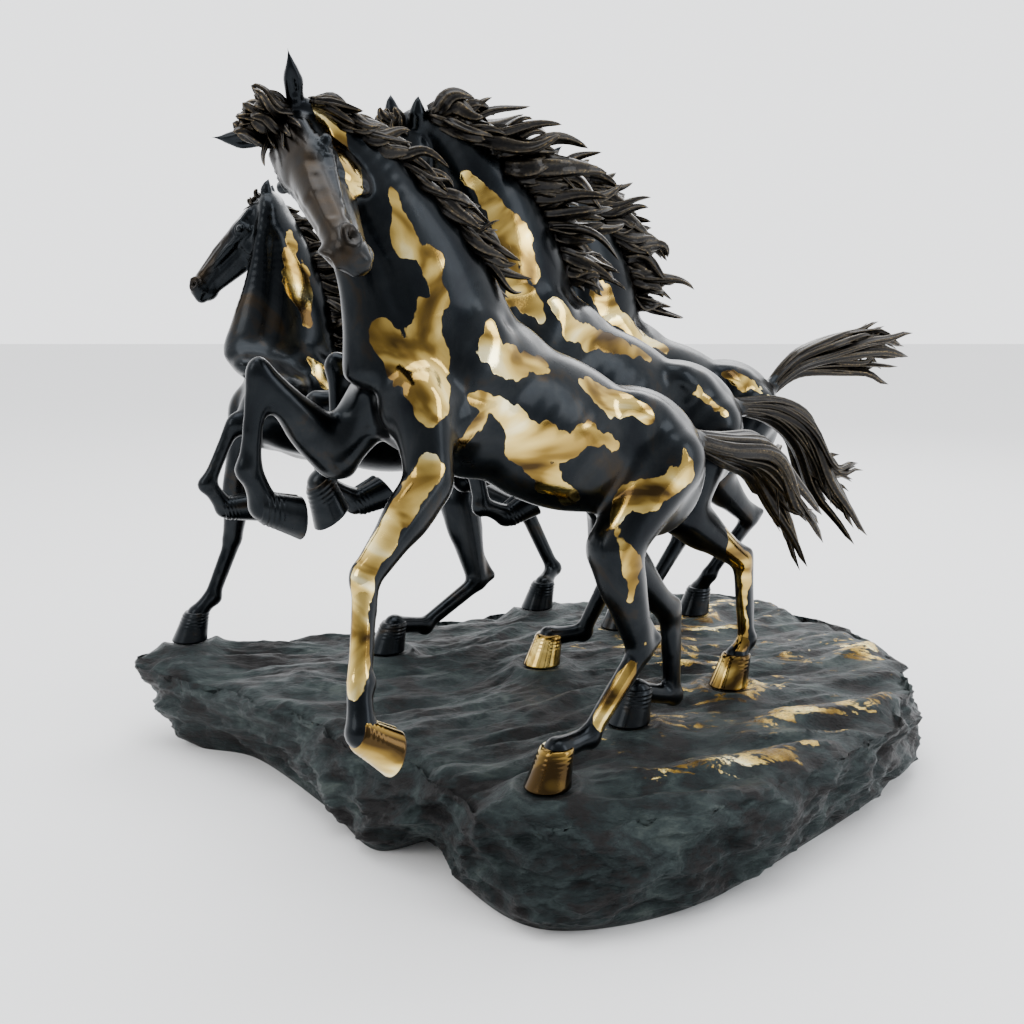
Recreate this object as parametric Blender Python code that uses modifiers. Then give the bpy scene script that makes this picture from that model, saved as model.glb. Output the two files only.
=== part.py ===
"""Bronze group: four horses running side by side over a rock base.

Each horse is a set of castings, trunk, neck with head, mane, tail and four legs, welded at
seams that are left open here as narrow kerfs. Nine planted hooves stand on flat seats in
the hollow rock casting, and a threaded stud with a nut below holds each one down.
Units are metres, +Z is up, +X is to the right and +Y is away from the front of the group.
"""
import math

import bmesh
import bpy
from mathutils import Matrix, Vector, noise

# ---------------------------------------------------------------- driving dimensions
WITHERS = 0.375            # standing height of each horse at the withers
HEAD = 0.40 * WITHERS      # poll to muzzle
ROCK_TOP = 0.105           # height of the rock's walking surface
ROCK_WALL = 0.014          # thickness of the rock casting
SEAM = 0.0005              # open width of a weld seam
GAP = 0.0004               # clearance between pieces that touch
STUD_RADIUS = 0.0030
STUD_ABOVE = 0.022         # length of stud inside a hoof
NUT_RADIUS = 0.0062
NUT_HEIGHT = 0.0050
SEAT_DEPTH = 0.020         # rock left between a hoof and its nut
HOOF_CLEAR = 0.036         # radius round a planted hoof that is kept clear of its seat

VOXEL = 0.0038             # grain of the modelled surface
HORSE_TRIANGLES = 2350
MANE_TRIANGLES = 250

COLLECTION = "bronze horse statue"

# ---------------------------------------------------------------- proportions of a horse
# Lengths are fractions of the withers height, in the trunk's frame: x to the nose, y to the
# left, z up, with the origin in the middle of the barrel.
NECK_ROOT = Vector((0.33, 0.0, 0.02))
NECK_LENGTHS = (0.27, 0.25)
TAIL_ROOT = Vector((-0.42, 0.0, 0.085))
SHOULDER = Vector((0.37, 0.085, -0.09))
HIP = Vector((-0.30, 0.095, 0.0))
FORE_LENGTHS = (0.17, 0.25, 0.20, 0.065, 0.09)
HIND_LENGTHS = (0.25, 0.27, 0.24, 0.065, 0.09)
SOLE_TURN = 42.0           # degrees between a hoof's axis and the way its sole faces
HOOF_HEIGHT = 0.092
SOLE_RADIUS = 0.060
CORONET_RADIUS = 0.044

# Trunk masses: centre, radii, and whether there is one on each side.
TRUNK_MASSES = (
    ((-0.02, 0.0, -0.035), (0.31, 0.130, 0.175), False),
    ((0.20, 0.0, -0.03), (0.20, 0.120, 0.185), False),
    ((0.32, 0.0, -0.07), (0.11, 0.110, 0.135), False),
    ((0.17, 0.0, 0.07), (0.17, 0.060, 0.095), False),
    ((-0.27, 0.0, 0.01), (0.19, 0.130, 0.150), False),
    ((-0.31, 0.070, -0.04), (0.14, 0.072, 0.160), True),
    ((0.26, 0.078, -0.02), (0.10, 0.055, 0.170), True),
)

# Radii along a leg, root to sole, at each joint.
FORE_RADII = (0.075, 0.062, 0.037, 0.032, 0.034)
HIND_RADII = (0.100, 0.080, 0.042, 0.033, 0.035)

# Where the weld seams lie, as shares of the limb they cross, and the radii that clear it.
FORE_SEAM = 0.58
HIND_SEAM = 0.45
LOW_SEAM = 0.30
NECK_SEAM = 0.42
TAIL_SEAM = 0.45
LEG_BLADE = 0.095
NECK_BLADE = 0.20
TAIL_BLADE = 0.09

# Pose angles in degrees. A leg lists the lean of its five lengths, 0 being straight down the
# trunk's own z and positive to the nose, then how far it swings out sideways. A neck lists
# the rise and turn of its two lengths, and a head its rise, turn and roll. A leg is welded on
# above its knee or hock; one listed under low_seams is folded in and is welded below it.
HORSES = {
    "near": {
        "place": (0.021, -0.266, 0.421), "heading": 213, "climb": 23,
        "neck": (46, -7, 25, -16), "head": (-38, 101, 87),
        "left_fore": (-22, 24, -10, -34, -51, 15), "right_fore": (15, 108, -14, -50, -55, 6),
        "left_hind": (17, -41, 17, 43, 17, 1), "right_hind": (-21, -67, -28, 59, 45, 0),
        "planted": ("left_hind", "right_hind"), "low_seams": (),
        "tail": ((-18, 4), (-8, 10), (-62, 0), (-55, -6)),
    },
    "second": {
        "place": (0.084, -0.094, 0.434), "heading": 209, "climb": 24,
        "neck": (50, 2, 23, -7), "head": (-92, 13, -6),
        "left_fore": (49, 78, -27, -14, -18, -5), "right_fore": (40, 60, -30, -105, -107, 0),
        "left_hind": (-2, -78, -30, 32, -20, 1), "right_hind": (15, -37, -5, 30, 27, 15),
        "planted": ("left_hind", "right_hind"), "low_seams": (),
        "tail": ((-4, 0), (-30, -4), (-70, -8), (-40, -10)),
    },
    "third": {
        "place": (0.176, 0.144, 0.410), "heading": 211, "climb": 18,
        "neck": (66, 1, 37, -7), "head": (-45, 0, 0),
        "left_fore": (40, 60, -30, -105, -107, 0), "right_fore": (52, 74, -24, -96, -104, 0),
        "left_hind": (11, -68, 14, -5, -5, -15), "right_hind": (29, -30, 19, 35, 33, 0),
        "planted": ("left_hind", "right_hind"), "low_seams": (),
        "tail": ((46, -14), (10, -14), (2, -10), (0, -6)),
    },
    "far": {
        "place": (-0.180, 0.158, 0.382), "heading": 209, "climb": 14,
        "neck": (84, -10, 70, -18), "head": (-58, -27, 0),
        "left_fore": (-72, 92, 11, -67, -79, -3), "right_fore": (-4, -5, 8, 17, 12, 3),
        "left_hind": (0, -21, 48, 58, 48, 14), "right_hind": (-22, -84, -36, 21, 20, -15),
        "planted": ("right_fore", "left_hind", "right_hind"), "low_seams": ("left_fore",),
        "tail": ((-10, 0), (-30, 0), (-60, 4), (-50, 6)),
    },
}

BRONZE = (0.020, 0.023, 0.027)
DARK_HAIR = (0.030, 0.026, 0.022)
ROCK_GREEN = (0.026, 0.034, 0.036)
STEEL = (0.42, 0.43, 0.44)

SIDES = {"left": 1.0, "right": -1.0}
LEGS = ("left_fore", "right_fore", "left_hind", "right_hind")


# ---------------------------------------------------------------- scene and object helpers
def clear_scene():
    for thing in list(bpy.data.objects):
        bpy.data.objects.remove(thing)


def new_collection(name):
    collection = bpy.data.collections.new(name)
    bpy.context.scene.collection.children.link(collection)
    return collection


def material(name, colour, roughness, metallic):
    made = bpy.data.materials.new(name)
    made.use_nodes = True
    shader = made.node_tree.nodes["Principled BSDF"]
    shader.inputs["Base Color"].default_value = (*colour, 1.0)
    shader.inputs["Roughness"].default_value = roughness
    shader.inputs["Metallic"].default_value = metallic
    return made


def object_from(bm, name, collection):
    mesh = bpy.data.meshes.new(name)
    bm.to_mesh(mesh)
    bm.free()
    made = bpy.data.objects.new(name, mesh)
    collection.objects.link(made)
    return made


def evaluated_copy(source, name, collection):
    """A new object holding the source's mesh with its modifiers applied."""
    bpy.context.view_layer.update()
    depsgraph = bpy.context.evaluated_depsgraph_get()
    mesh = bpy.data.meshes.new_from_object(source.evaluated_get(depsgraph))
    made = bpy.data.objects.new(name, mesh)
    made.matrix_world = source.matrix_world
    collection.objects.link(made)
    return made


def finish_piece(made, finish):
    made.data.materials.clear()
    made.data.materials.append(finish)
    made.data.shade_smooth()
    made.data.set_sharp_from_angle(angle=math.radians(50))


# ---------------------------------------------------------------- solid primitives
def aligned(direction, up):
    """Rotation whose x is the direction and whose z leans to up."""
    x = direction.normalized()
    y = up.cross(x).normalized()
    z = x.cross(y)
    return Matrix((x, y, z)).transposed()


def merge_into(bm, other):
    """Move another bmesh's geometry into this one."""
    mesh = bpy.data.meshes.new("stamp")
    other.to_mesh(mesh)
    other.free()
    bm.from_mesh(mesh)
    bpy.data.meshes.remove(mesh)


def add_blob(bm, frame, centre, radii):
    """An ellipsoid with its radii along the frame's axes."""
    placed = Matrix.Translation(centre) @ frame.to_4x4() @ Matrix.Diagonal((*radii, 1.0))
    ball = bmesh.new()
    bmesh.ops.create_uvsphere(ball, u_segments=20, v_segments=12, radius=1.0, matrix=placed)
    merge_into(bm, ball)


def add_bone(bm, start, end, start_radius, end_radius):
    """A round limb between two points, with round ends."""
    axis = end - start
    turn = axis.to_track_quat("Z", "Y").to_matrix().to_4x4()
    middle = Matrix.Translation((start + end) / 2)
    bmesh.ops.create_cone(
        bm, segments=20, radius1=start_radius, radius2=end_radius, depth=axis.length,
        cap_ends=True, matrix=middle @ turn)
    for point, radius in ((start, start_radius), (end, end_radius)):
        add_blob(bm, Matrix.Identity(3), point, (radius, radius, radius))


def smooth_union(bm, name, collection, voxel, triangles):
    """One closed skin round the overlapping primitives, thinned to a triangle budget."""
    rough = object_from(bm, name + "_masses", collection)
    remesh = rough.modifiers.new("skin", "REMESH")
    remesh.mode = "VOXEL"
    remesh.voxel_size = voxel
    smooth = rough.modifiers.new("smooth", "SMOOTH")
    smooth.factor = 0.6
    smooth.iterations = 5
    skin = evaluated_copy(rough, name + "_skin", collection)
    bpy.data.objects.remove(rough)
    triangulate = skin.modifiers.new("triangles", "TRIANGULATE")
    triangulate.quad_method = "BEAUTY"
    faces = sum(len(face.vertices) - 2 for face in skin.data.polygons)
    thin = skin.modifiers.new("thin", "DECIMATE")
    thin.ratio = min(1.0, triangles / faces)
    made = evaluated_copy(skin, name, collection)
    bpy.data.objects.remove(skin)
    return made


# ---------------------------------------------------------------- a horse's skeleton
def lean_direction(lean, swing):
    direction = Vector((math.sin(math.radians(lean)), 0.0, -math.cos(math.radians(lean))))
    return Matrix.Rotation(math.radians(swing), 3, "X") @ direction


def rise_direction(rise, turn):
    rise, turn = math.radians(rise), math.radians(turn)
    return Vector((math.cos(rise) * math.cos(turn), math.cos(rise) * math.sin(turn), math.sin(rise)))


class Skeleton:
    """Joint places and frames of one posed horse, in metres in the object's frame."""

    def __init__(self, pose):
        self.place = Vector(pose["place"])
        self.turn = (Matrix.Rotation(math.radians(pose["heading"]), 3, "Z")
                     @ Matrix.Rotation(-math.radians(pose["climb"]), 3, "Y"))
        middle = NECK_ROOT + NECK_LENGTHS[0] * rise_direction(*pose["neck"][:2])
        poll = middle + NECK_LENGTHS[1] * rise_direction(*pose["neck"][2:])
        self.neck = [self.world(NECK_ROOT), self.world(middle), self.world(poll)]
        rise, turn, roll = (math.radians(angle) for angle in pose["head"])
        self.head = (self.turn @ Matrix.Rotation(turn, 3, "Z") @ Matrix.Rotation(-rise, 3, "Y")
                     @ Matrix.Rotation(roll, 3, "X"))
        self.legs = {leg: self.leg_joints(leg, pose[leg]) for leg in LEGS}
        self.soles = {leg: self.sole_facing(leg, pose) for leg in LEGS}
        self.tail = self.tail_joints(pose["tail"])

    def world(self, local):
        return self.place + self.turn @ (local * WITHERS)

    def on_head(self, x, y, z):
        return self.neck[2] + self.head @ (Vector((x, y, z)) * HEAD)

    def leg_joints(self, leg, angles):
        side, end = leg.split("_")
        root = SHOULDER if end == "fore" else HIP
        lengths = FORE_LENGTHS if end == "fore" else HIND_LENGTHS
        sign = SIDES[side]
        joint = Vector((root.x, sign * root.y, root.z))
        joints = [self.world(joint)]
        for lean, length in zip(angles, lengths):
            joint = joint + length * lean_direction(lean, sign * angles[5])
            joints.append(self.world(joint))
        return joints

    def sole_facing(self, leg, pose):
        """The way the sole faces, and the way the toe points."""
        if leg in pose["planted"]:
            facing = Vector((0.0, 0.0, -1.0))
        else:
            sign = SIDES[leg.split("_")[0]]
            facing = self.turn @ lean_direction(pose[leg][4] - SOLE_TURN, sign * pose[leg][5])
        side = self.turn @ Vector((0.0, 1.0, 0.0))
        toe = side.cross(-facing).normalized()
        return facing, toe

    def tail_joints(self, angles):
        joint = self.world(TAIL_ROOT)
        joints = [joint]
        back = self.turn.to_euler().z + math.pi
        for rise, turn in angles:
            step = Matrix.Rotation(back, 3, "Z") @ rise_direction(rise, turn)
            joint = joint + step * (0.15 * WITHERS)
            joints.append(joint)
        return joints

    def neck_point(self, share):
        """A point and a direction on the neck's curve, 0 at the trunk and 1 at the poll."""
        a, b, c = self.neck
        middle = b * 2 - (a + c) / 2
        point = (1 - share) ** 2 * a + 2 * share * (1 - share) * middle + share ** 2 * c
        slope = (1 - share) * (middle - a) + share * (c - middle)
        return point, slope.normalized()

    def crest_direction(self, share):
        """From the neck's core to its crest, turning from the trunk's back to the poll."""
        point, slope = self.neck_point(share)
        trunk_up = self.turn @ Vector((0.0, 0.0, 1.0))
        head_up = self.head @ Vector((-0.6, 0.0, 1.0))
        up = trunk_up.lerp(head_up, share ** 2)
        return (up - slope * up.dot(slope)).normalized()


# ---------------------------------------------------------------- a horse's masses
def add_trunk(bm, bones):
    for centre, radii, paired in TRUNK_MASSES:
        for sign in (1.0, -1.0) if paired else (1.0,):
            place = bones.world(Vector((centre[0], sign * centre[1], centre[2])))
            add_blob(bm, bones.turn, place, [radius * WITHERS for radius in radii])


def neck_radii(share):
    """Half depth and half width of the neck, wide at the chest and slim at the throat."""
    depth = (0.150 * (1 - share) ** 1.3 + 0.078) * WITHERS
    width = (0.062 * (1 - share) ** 1.2 + 0.046) * WITHERS
    return depth, width


def add_neck(bm, bones):
    steps = 9
    for step in range(steps + 1):
        share = step / steps
        point, slope = bones.neck_point(share)
        depth, width = neck_radii(share)
        frame = aligned(slope, bones.crest_direction(share))
        add_blob(bm, frame, point, (0.075 * WITHERS, width, depth))


def add_head(bm, bones):
    def blob(x, y, z, along, across, deep):
        add_blob(bm, bones.head, bones.on_head(x, y, z), (along * HEAD, across * HEAD, deep * HEAD))

    def bone(start, end, start_radius, end_radius):
        add_bone(bm, bones.on_head(*start), bones.on_head(*end), start_radius * HEAD, end_radius * HEAD)

    blob(0.10, 0.0, 0.00, 0.19, 0.165, 0.17)
    bone((0.18, 0.0, 0.03), (0.82, 0.0, 0.00), 0.135, 0.095)
    blob(0.92, 0.0, -0.03, 0.11, 0.105, 0.115)
    blob(0.87, 0.0, -0.15, 0.08, 0.060, 0.045)
    bone((0.36, 0.0, -0.20), (0.84, 0.0, -0.12), 0.070, 0.050)
    for sign in (1.0, -1.0):
        blob(0.28, sign * 0.085, -0.15, 0.20, 0.070, 0.19)
        blob(0.36, sign * 0.150, 0.065, 0.07, 0.045, 0.045)
        blob(0.90, sign * 0.085, 0.030, 0.06, 0.035, 0.05)
        ear_root = (0.00, sign * 0.10, 0.10)
        ear_middle = (-0.08, sign * 0.19, 0.28)
        ear_tip = (-0.07, sign * 0.24, 0.42)
        bone(ear_root, ear_middle, 0.058, 0.050)
        bone(ear_middle, ear_tip, 0.050, 0.016)


def add_forelock(bm, bones):
    """Tufts blown up and forward between the ears."""
    for turn, reach in ((-0.06, 0.30), (0.0, 0.36), (0.07, 0.26)):
        start = bones.on_head(0.02, turn, 0.14)
        middle = bones.on_head(0.10, turn * 1.5, 0.14 + reach * 0.5)
        tip = bones.on_head(0.04, turn * 2.4, 0.14 + reach)
        add_bone(bm, start, middle, 0.060 * HEAD, 0.050 * HEAD)
        add_bone(bm, middle, tip, 0.050 * HEAD, 0.018 * HEAD)


def add_hoof(bm, sole, facing, toe):
    """A cone that leans forward from its coronet, with a flat sole."""
    height = HOOF_HEIGHT * WITHERS
    side = toe.cross(facing).normalized()
    lean = toe * -0.30 - facing
    axes = Matrix((toe, side, lean)).transposed().to_4x4()
    centre = sole + lean * (height / 2)
    bmesh.ops.create_cone(
        bm, segments=20, radius1=SOLE_RADIUS * WITHERS, radius2=CORONET_RADIUS * WITHERS,
        depth=height, cap_ends=True, matrix=Matrix.Translation(centre) @ axes)
    return sole + lean * height


def add_leg(bm, bones, leg):
    joints = bones.legs[leg]
    fore = leg.endswith("fore")
    radii = [radius * WITHERS for radius in (FORE_RADII if fore else HIND_RADII)]
    facing, toe = bones.soles[leg]
    coronet = add_hoof(bm, joints[5], facing, toe)
    for index in range(3):
        add_bone(bm, joints[index], joints[index + 1], radii[index], radii[index + 1] * 0.94)
    add_bone(bm, joints[3], coronet, radii[3], radii[4])
    add_blob(bm, Matrix.Identity(3), joints[2], [radii[2] * 1.05] * 3)
    add_blob(bm, Matrix.Identity(3), joints[3], [radii[4] * 1.12] * 3)
    down = (joints[2] - joints[1]).normalized()
    muscle = joints[1] + down * (0.06 * WITHERS)
    swell = (0.055 if fore else 0.066) * WITHERS
    frame = aligned(down, bones.turn @ Vector((1.0, 0.0, 0.0)))
    add_blob(bm, frame, muscle, (0.13 * WITHERS, swell * 0.85, swell * 1.12))
    if not fore:
        heel = joints[2] - toe * (0.034 * WITHERS) - (joints[3] - joints[2]).normalized() * (0.02 * WITHERS)
        add_bone(bm, heel, joints[1] + down * (0.12 * WITHERS), 0.020 * WITHERS, 0.030 * WITHERS)
        add_bone(bm, heel, joints[2], 0.022 * WITHERS, 0.034 * WITHERS)


def add_tail(bm, bones):
    """A bundle of locks that leaves the dock as one and parts at its tips."""
    joints = bones.tail
    widths = (0.035, 0.052, 0.062, 0.050, 0.022)
    for index in range(4):
        add_bone(bm, joints[index], joints[index + 1], widths[index] * WITHERS, widths[index + 1] * WITHERS)
    side = bones.turn @ Vector((0.0, 1.0, 0.0))
    up = Vector((0.0, 0.0, 1.0))
    for across, lift in ((0.07, 0.03), (-0.06, 0.04), (0.02, -0.06)):
        offset = (side * across + up * lift) * WITHERS
        tip = joints[4] + offset * 1.3
        add_bone(bm, joints[2] + offset * 0.4, joints[3] + offset, 0.036 * WITHERS, 0.030 * WITHERS)
        add_bone(bm, joints[3] + offset, tip, 0.030 * WITHERS, 0.012 * WITHERS)


def add_mane(bm, bones):
    """A ridge along the crest that breaks into locks blown back from the neck."""
    locks = 9
    back = bones.turn @ Vector((-1.0, 0.0, 0.0))
    ridge = []
    for step in range(locks + 1):
        share = 0.16 + 0.84 * step / locks
        point, slope = bones.neck_point(share)
        crest = bones.crest_direction(share)
        depth, width = neck_radii(share)
        ridge.append((point + crest * (depth * 0.98), crest, slope))
    for (start, _, _), (end, _, _) in zip(ridge, ridge[1:]):
        add_bone(bm, start, end, 0.030 * WITHERS, 0.030 * WITHERS)
    for step, (root, crest, slope) in enumerate(ridge[1:]):
        sway = math.sin(step * 2.4)
        reach = (0.16 + 0.03 * sway) * WITHERS
        out = (crest + back * 0.5 - slope * 0.35).normalized()
        middle = root + out * (reach * 0.55)
        tip = middle + (out + back * (0.5 + 0.3 * sway)).normalized() * (reach * 0.6)
        add_bone(bm, root, middle, 0.032 * WITHERS, 0.024 * WITHERS)
        add_bone(bm, middle, tip, 0.024 * WITHERS, 0.009 * WITHERS)


# ---------------------------------------------------------------- cutting into castings
def add_saw(bm, centre, direction, radius):
    """A thin round blade that opens a weld seam across a limb."""
    turn = direction.to_track_quat("Z", "Y").to_matrix().to_4x4()
    bmesh.ops.create_cone(
        bm, segments=20, radius1=radius, radius2=radius, depth=SEAM, cap_ends=True,
        matrix=Matrix.Translation(centre) @ turn)


def add_drill(bm, x, y, low, high, radius, segments=16):
    """An upright cutter between two heights."""
    middle = Matrix.Translation((x, y, (low + high) / 2))
    bmesh.ops.create_cone(
        bm, segments=segments, radius1=radius, radius2=radius, depth=high - low,
        cap_ends=True, matrix=middle)


def seam_places(bones, low_seams):
    """Where each casting is welded on: centre, direction and blade radius."""
    places = []
    for leg in LEGS:
        share = FORE_SEAM if leg.endswith("fore") else HIND_SEAM
        upper, lower = bones.legs[leg][1:3]
        if leg in low_seams:
            share = LOW_SEAM
            upper, lower = bones.legs[leg][2:4]
        places.append((upper.lerp(lower, share), lower - upper, LEG_BLADE * WITHERS))
    point, slope = bones.neck_point(NECK_SEAM)
    places.append((point, slope, NECK_BLADE * WITHERS))
    root, end = bones.tail[0], bones.tail[1]
    places.append((root.lerp(end, TAIL_SEAM), end - root, TAIL_BLADE * WITHERS))
    return places


def loose_parts(source, collection):
    """Each separate body of a mesh as its own object."""
    bm = bmesh.new()
    bm.from_mesh(source.data)
    bm.verts.ensure_lookup_table()
    group = [-1] * len(bm.verts)
    count = 0
    for vert in bm.verts:
        if group[vert.index] >= 0:
            continue
        stack = [vert]
        group[vert.index] = count
        while stack:
            current = stack.pop()
            for edge in current.link_edges:
                other = edge.other_vert(current)
                if group[other.index] < 0:
                    group[other.index] = count
                    stack.append(other)
        count += 1
    made = []
    for part in range(count):
        piece = bm.copy()
        piece.verts.ensure_lookup_table()
        doomed = [vert for vert in piece.verts if group[vert.index] != part]
        bmesh.ops.delete(piece, geom=doomed, context="VERTS")
        made.append(object_from(piece, source.name + "_part", collection))
    bm.free()
    return made


def cut(target, cutter, collection, name, crossing=False):
    """The target with the cutter taken away; crossing says the cutter's solids overlap."""
    difference = target.modifiers.new("cut", "BOOLEAN")
    difference.operation = "DIFFERENCE"
    difference.solver = "EXACT"
    difference.use_self = crossing
    difference.object = cutter
    made = evaluated_copy(target, name, collection)
    target.modifiers.remove(difference)
    return made


def hide_cutter(cutter):
    cutter.hide_render = True
    cutter.display_type = "WIRE"


def nearest_name(piece, anchors):
    """The casting whose anchor point lies closest to the piece's surface."""
    best, name = None, None
    for candidate, anchor in anchors.items():
        found, place, _, _ = piece.closest_point_on_mesh(anchor)
        distance = (place - anchor).length if found else math.inf
        if best is None or distance < best:
            best, name = distance, candidate
    return name


def make_horse(name, pose, pieces, cutters, finishes):
    bones = Skeleton(pose)
    bm = bmesh.new()
    add_trunk(bm, bones)
    add_neck(bm, bones)
    add_head(bm, bones)
    add_forelock(bm, bones)
    for leg in LEGS:
        add_leg(bm, bones, leg)
    add_tail(bm, bones)
    skin = smooth_union(bm, name + "_whole", cutters, VOXEL, HORSE_TRIANGLES)

    bm = bmesh.new()
    for centre, direction, radius in seam_places(bones, pose["low_seams"]):
        add_saw(bm, centre, direction, radius)
    for leg in pose["planted"]:
        sole = bones.legs[leg][5]
        add_drill(bm, sole.x, sole.y, sole.z - 0.03, sole.z, HOOF_CLEAR)
        add_drill(bm, sole.x, sole.y, sole.z - 0.01, sole.z + STUD_ABOVE, STUD_RADIUS + GAP, 10)
    blades = object_from(bm, name + "_blades", cutters)
    hide_cutter(blades)

    anchors = {"trunk": bones.world(Vector((-0.02, 0.0, 0.14)))}
    anchors["neck_and_head"] = bones.on_head(0.8, 0.0, 0.1)
    anchors["tail"] = bones.tail[3]
    for leg in LEGS:
        anchors[leg + "_leg"] = bones.legs[leg][3]

    sawn = cut(skin, blades, cutters, name + "_sawn")
    chosen = {}
    for part in loose_parts(sawn, cutters):
        role = nearest_name(part, anchors)
        kept = chosen.get(role)
        if kept is None or len(part.data.vertices) > len(kept.data.vertices):
            if kept is not None:
                bpy.data.objects.remove(kept)
            chosen[role] = part
        else:
            bpy.data.objects.remove(part)
    for role, part in chosen.items():
        part.name = name + "_" + role
        cutters.objects.unlink(part)
        pieces.objects.link(part)
        finish_piece(part, finishes["hair"] if role == "tail" else finishes["bronze"])

    bm = bmesh.new()
    add_mane(bm, bones)
    hair = smooth_union(bm, name + "_hair", cutters, VOXEL * 0.9, MANE_TRIANGLES)
    swollen = skin.copy()
    swollen.data = skin.data.copy()
    cutters.objects.link(swollen)
    for vert in swollen.data.vertices:
        vert.co += vert.normal * (GAP * 1.6)
    mane = cut(hair, swollen, cutters, name + "_mane_cut")
    parts = sorted(loose_parts(mane, cutters), key=lambda part: len(part.data.vertices))
    for part in parts[:-1]:
        bpy.data.objects.remove(part)
    mane_piece = parts[-1]
    mane_piece.name = name + "_mane"
    cutters.objects.unlink(mane_piece)
    pieces.objects.link(mane_piece)
    finish_piece(mane_piece, finishes["hair"])
    for leftover in (skin, sawn, hair, swollen, mane):
        bpy.data.objects.remove(leftover)
    return bones


# ---------------------------------------------------------------- rock base
# The top outline and the foot outline, counter-clockwise from the right, in metres.
TOP_OUTLINE = (
    (0.435, 0.02), (0.425, 0.15), (0.37, 0.27), (0.27, 0.355), (0.11, 0.30), (-0.06, 0.235),
    (-0.17, 0.16), (-0.30, 0.12), (-0.42, 0.10), (-0.445, 0.04), (-0.33, -0.045),
    (-0.20, -0.15), (-0.10, -0.25), (-0.02, -0.345), (0.08, -0.355), (0.20, -0.30),
    (0.33, -0.185), (0.41, -0.08),
)
FOOT_OUTLINE = (
    (0.43, 0.02), (0.40, 0.14), (0.35, 0.25), (0.25, 0.33), (0.10, 0.27), (-0.05, 0.21),
    (-0.16, 0.14), (-0.27, 0.10), (-0.36, 0.08), (-0.375, 0.02), (-0.30, -0.015),
    (-0.20, -0.14), (-0.13, -0.225), (-0.045, -0.27), (0.02, -0.36), (0.14, -0.335),
    (0.27, -0.22), (0.39, -0.09),
)
ROCK_AROUND = 44
ROCK_SIDE_STEPS = 5


def closed_curve(points, count):
    """Evenly shared points on a smooth closed curve through the outline's points."""
    total = len(points)
    made = []
    for step in range(count):
        place = step * total / count
        index = int(place)
        part = place - index
        p0, p1, p2, p3 = (Vector(points[(index + shift) % total]) for shift in (-1, 0, 1, 2))
        made.append(0.5 * (2 * p1 + (p2 - p0) * part + (2 * p0 - 5 * p1 + 4 * p2 - p3) * part ** 2
                           + (3 * p1 - p0 - 3 * p2 + p3) * part ** 3))
    return made


def rock_relief(x, y):
    """Height of the weathered strata above the walking surface."""
    flow = Vector((x * 5.0 + y * 2.0, y * 16.0 - x * 5.0, 0.0))
    ridges = abs(noise.noise(flow)) * 0.010
    swell = noise.noise(Vector((x * 4.0, y * 4.0, 3.0))) * 0.008
    return ridges + swell


def rock_height(x, y, seats):
    """Top of the rock, eased level round every hoof seat."""
    height = ROCK_TOP - 0.006 + rock_relief(x, y)
    for seat in seats:
        distance = math.hypot(x - seat.x, y - seat.y)
        blend = min(1.0, max(0.0, (distance - 0.045) / 0.050))
        height = (seat.z + 0.002) * (1 - blend) + height * blend
    return height


def add_ring(bm, points):
    return [bm.verts.new(point) for point in points]


def join_rings(bm, lower, upper):
    count = len(lower)
    for index in range(count):
        following = (index + 1) % count
        bm.faces.new((lower[index], lower[following], upper[following], upper[index]))


def close_ring(bm, ring, centre, inward):
    hub = bm.verts.new(centre)
    count = len(ring)
    for index in range(count):
        pair = (ring[index], ring[(index + 1) % count])
        bm.faces.new((pair[1], pair[0], hub) if inward else (pair[0], pair[1], hub))


def inset_ring(points, inset):
    """The closed ring moved inwards along its own normals."""
    count = len(points)
    moved = []
    for index, point in enumerate(points):
        along = points[(index + 1) % count] - points[index - 1]
        inward = Vector((-along.y, along.x)).normalized()
        moved.append(point + inward * inset)
    return moved


def rock_shell(bm, seats, inset, drop, inward):
    """One skin of the rock: up its craggy side and over its top to the middle."""
    top = closed_curve(TOP_OUTLINE, ROCK_AROUND)
    low = closed_curve(FOOT_OUTLINE, ROCK_AROUND)
    hub = Vector((0.02, 0.02))
    side_top = ROCK_TOP - 0.012 - drop
    rings = []
    for step in range(ROCK_SIDE_STEPS):
        share = step / ROCK_SIDE_STEPS
        ring = []
        for inner, outer in zip(low, top):
            place = inner.lerp(outer, share)
            out = (place - hub).normalized()
            crag = noise.noise(Vector((place.x * 9, place.y * 9, share * 7))) * 0.010
            ring.append(place + out * (0.012 * math.sin(math.pi * share) + crag * share))
        rings.append([(spot.x, spot.y, side_top * share) for spot in inset_ring(ring, inset)])
    rim = inset_ring(top, inset)
    for shrink in (0.985, 0.93, 0.83, 0.71, 0.58, 0.45, 0.31, 0.16):
        ring = []
        for outer in rim:
            place = hub + (outer - hub) * shrink
            ease = 0.010 * max(0.0, (shrink - 0.9) / 0.1)
            ring.append((place.x, place.y, rock_height(place.x, place.y, seats) - drop - ease))
        rings.append(ring)
    verts = [add_ring(bm, ring) for ring in rings]
    for lower, upper in zip(verts, verts[1:]):
        if inward:
            join_rings(bm, upper, lower)
        else:
            join_rings(bm, lower, upper)
    centre = (hub.x, hub.y, rock_height(hub.x, hub.y, seats) - drop)
    close_ring(bm, verts[-1], centre, inward)
    return verts[0]


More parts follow.
